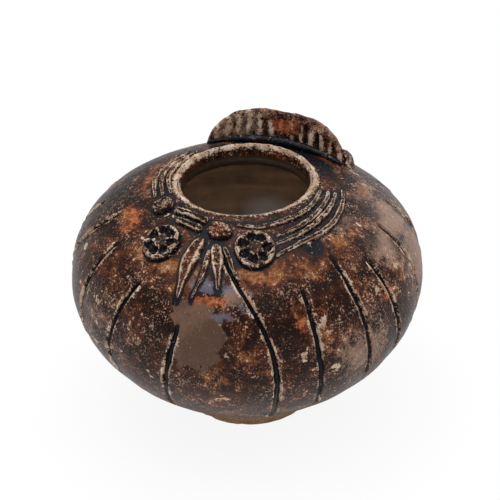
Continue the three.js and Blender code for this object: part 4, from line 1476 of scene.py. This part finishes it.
class LimePotStage(bpy.types.Operator):
    """Pale floor, soft lamps, room light and the camera"""

    bl_idname = "lime_pot.stage"
    bl_label = "Studio"

    def execute(self, context):
        studio = context.scene.lime_pot_studio
        self.lay_floor(studio)
        self.hang_lamp("lime_pot_key", *KEY_LAMP, studio.key_power)
        self.hang_lamp("lime_pot_rim", *RIM_LAMP, studio.rim_power)
        self.light_room(context.scene, studio)
        self.set_camera(context.scene)
        context.scene.view_settings.view_transform = "Standard"
        return {"FINISHED"}

    def lay_floor(self, studio):
        """A floor that takes the pot's shadow and is seen as nearly white."""
        clear_selection()
        bpy.ops.mesh.primitive_plane_add(size=6)
        floor = named("lime_pot_floor")
        nodes = Nodes("lime_pot_floor")
        nodes.shader.inputs["Base Color"].default_value = rgba(studio.floor_colour)
        nodes.shader.inputs["Roughness"].default_value = 0.9
        nodes.shader.inputs["IOR"].default_value = 1.2
        rays = nodes.add("ShaderNodeLightPath").outputs
        seen = nodes.plus(rays["Is Camera Ray"], rays["Is Glossy Ray"])
        seen = nodes.math("ADD", seen, rays["Is Transmission Ray"], clamp=True)
        glow = nodes.add("ShaderNodeEmission")
        blend = nodes.add("ShaderNodeMixShader")
        nodes.feed(blend.inputs[0], nodes.times(seen, studio.backdrop))
        nodes.feed(blend.inputs[1], nodes.shader.outputs[0])
        nodes.feed(blend.inputs[2], glow.outputs[0])
        nodes.feed(nodes.tree.nodes["Material Output"].inputs["Surface"], blend.outputs[0])
        floor.data.materials.append(nodes.material)

    def hang_lamp(self, name, spot, size, power):
        """A square lamp that faces the pot."""
        data = bpy.data.lights.new(name, "AREA")
        data.size = size * MM
        data.energy = power
        lamp = bpy.data.objects.new(name, data)
        bpy.context.scene.collection.objects.link(lamp)
        lamp.location = Vector(spot) * MM
        to_pot = Vector((0, 0, BELLY_HEIGHT)) * MM - lamp.location
        lamp.rotation_euler = to_pot.to_track_quat("-Z", "Y").to_euler()

    def light_room(self, scene, studio):
        """Light from all round, brighter from above than from near the horizon."""
        world = bpy.data.worlds.new("lime_pot_room")
        world.use_nodes = True
        tree = world.node_tree
        background = tree.nodes["Background"]
        background.inputs["Strength"].default_value = studio.room_level
        parts = tree.nodes.new("ShaderNodeSeparateXYZ")
        tree.links.new(tree.nodes.new("ShaderNodeTexCoord").outputs["Generated"], parts.inputs[0])
        climb = tree.nodes.new("ShaderNodeMapRange")
        climb.interpolation_type = "SMOOTHSTEP"
        tree.links.new(parts.outputs["Z"], climb.inputs["Value"])
        climb.inputs["From Min"].default_value, climb.inputs["From Max"].default_value = ROOM_CLIMB
        climb.inputs["To Min"].default_value = studio.horizon
        tree.links.new(climb.outputs["Result"], background.inputs["Color"])
        scene.world = world

    def set_camera(self, scene):
        """Looks from the photo's side, with the aim point at its pixel in the picture."""
        rise, swing, roll = (radians(v) for v in (CAMERA_ELEVATION, CAMERA_AZIMUTH, CAMERA_ROLL))
        back = Vector((cos(rise) * sin(swing), -cos(rise) * cos(swing), sin(rise)))
        right = Vector((cos(swing), sin(swing), 0))
        up = back.cross(right)
        right, up = cos(roll) * right + sin(roll) * up, cos(roll) * up - sin(roll) * right
        sideways, upwards = ((PICTURE_PIXELS / 2 - pixel) / FOCAL_PIXELS for pixel in AIM_PIXEL)
        aim = right * sideways - up * upwards - back
        aim.normalize()
        right = (right - aim * right.dot(aim)).normalized()
        up = right.cross(aim)
        data = bpy.data.cameras.new("lime_pot_camera")
        data.sensor_width = 36
        data.lens = FOCAL_PIXELS * data.sensor_width / PICTURE_PIXELS
        data.clip_start = 0.01
        camera = bpy.data.objects.new("lime_pot_camera", data)
        scene.collection.objects.link(camera)
        eye = (Vector((0, 0, AIM_HEIGHT)) + back * CAMERA_DISTANCE) * MM
        turned = Matrix((right, up, -aim)).transposed().to_4x4()
        camera.matrix_world = Matrix.Translation(eye) @ turned
        scene.camera = camera


class LimePotPanel(bpy.types.Panel):
    """Lists the settings and the pieces of the pot"""

    bl_idname = "VIEW3D_PT_lime_pot"
    bl_label = "Lime Pot"
    bl_space_type = "VIEW_3D"
    bl_region_type = "UI"
    bl_category = "Lime Pot"

    def draw(self, context):
        for group in SETTINGS:
            settings = getattr(context.scene, group)
            for name in settings.__annotations__:
                self.layout.prop(settings, name)
        for operator in OPERATORS:
            self.layout.operator(operator.bl_idname)


SETTINGS = {
    "lime_pot_clay": LimePotClay,
    "lime_pot_glaze": LimePotGlaze,
    "lime_pot_studio": LimePotStudio,
}
OPERATORS = [
    LimePotBody,
    LimePotFoot,
    LimePotCrest,
    LimePotRootCoil,
    LimePotRosettes,
    LimePotLumps,
    LimePotStrips,
    LimePotWings,
    LimePotStage,
]


def register():
    for group in (*SETTINGS.values(), *OPERATORS, LimePotPanel):
        bpy.utils.register_class(group)
    for name, group in SETTINGS.items():
        setattr(bpy.types.Scene, name, PointerProperty(type=group))


def unregister():
    for name in SETTINGS:
        delattr(bpy.types.Scene, name)
    for group in (LimePotPanel, *reversed(OPERATORS), *SETTINGS.values()):
        bpy.utils.unregister_class(group)


def main():
    register()
    for operator in OPERATORS:
        getattr(bpy.ops.lime_pot, operator.bl_idname.split(".")[1])()


if __name__ == "__main__":
    main()
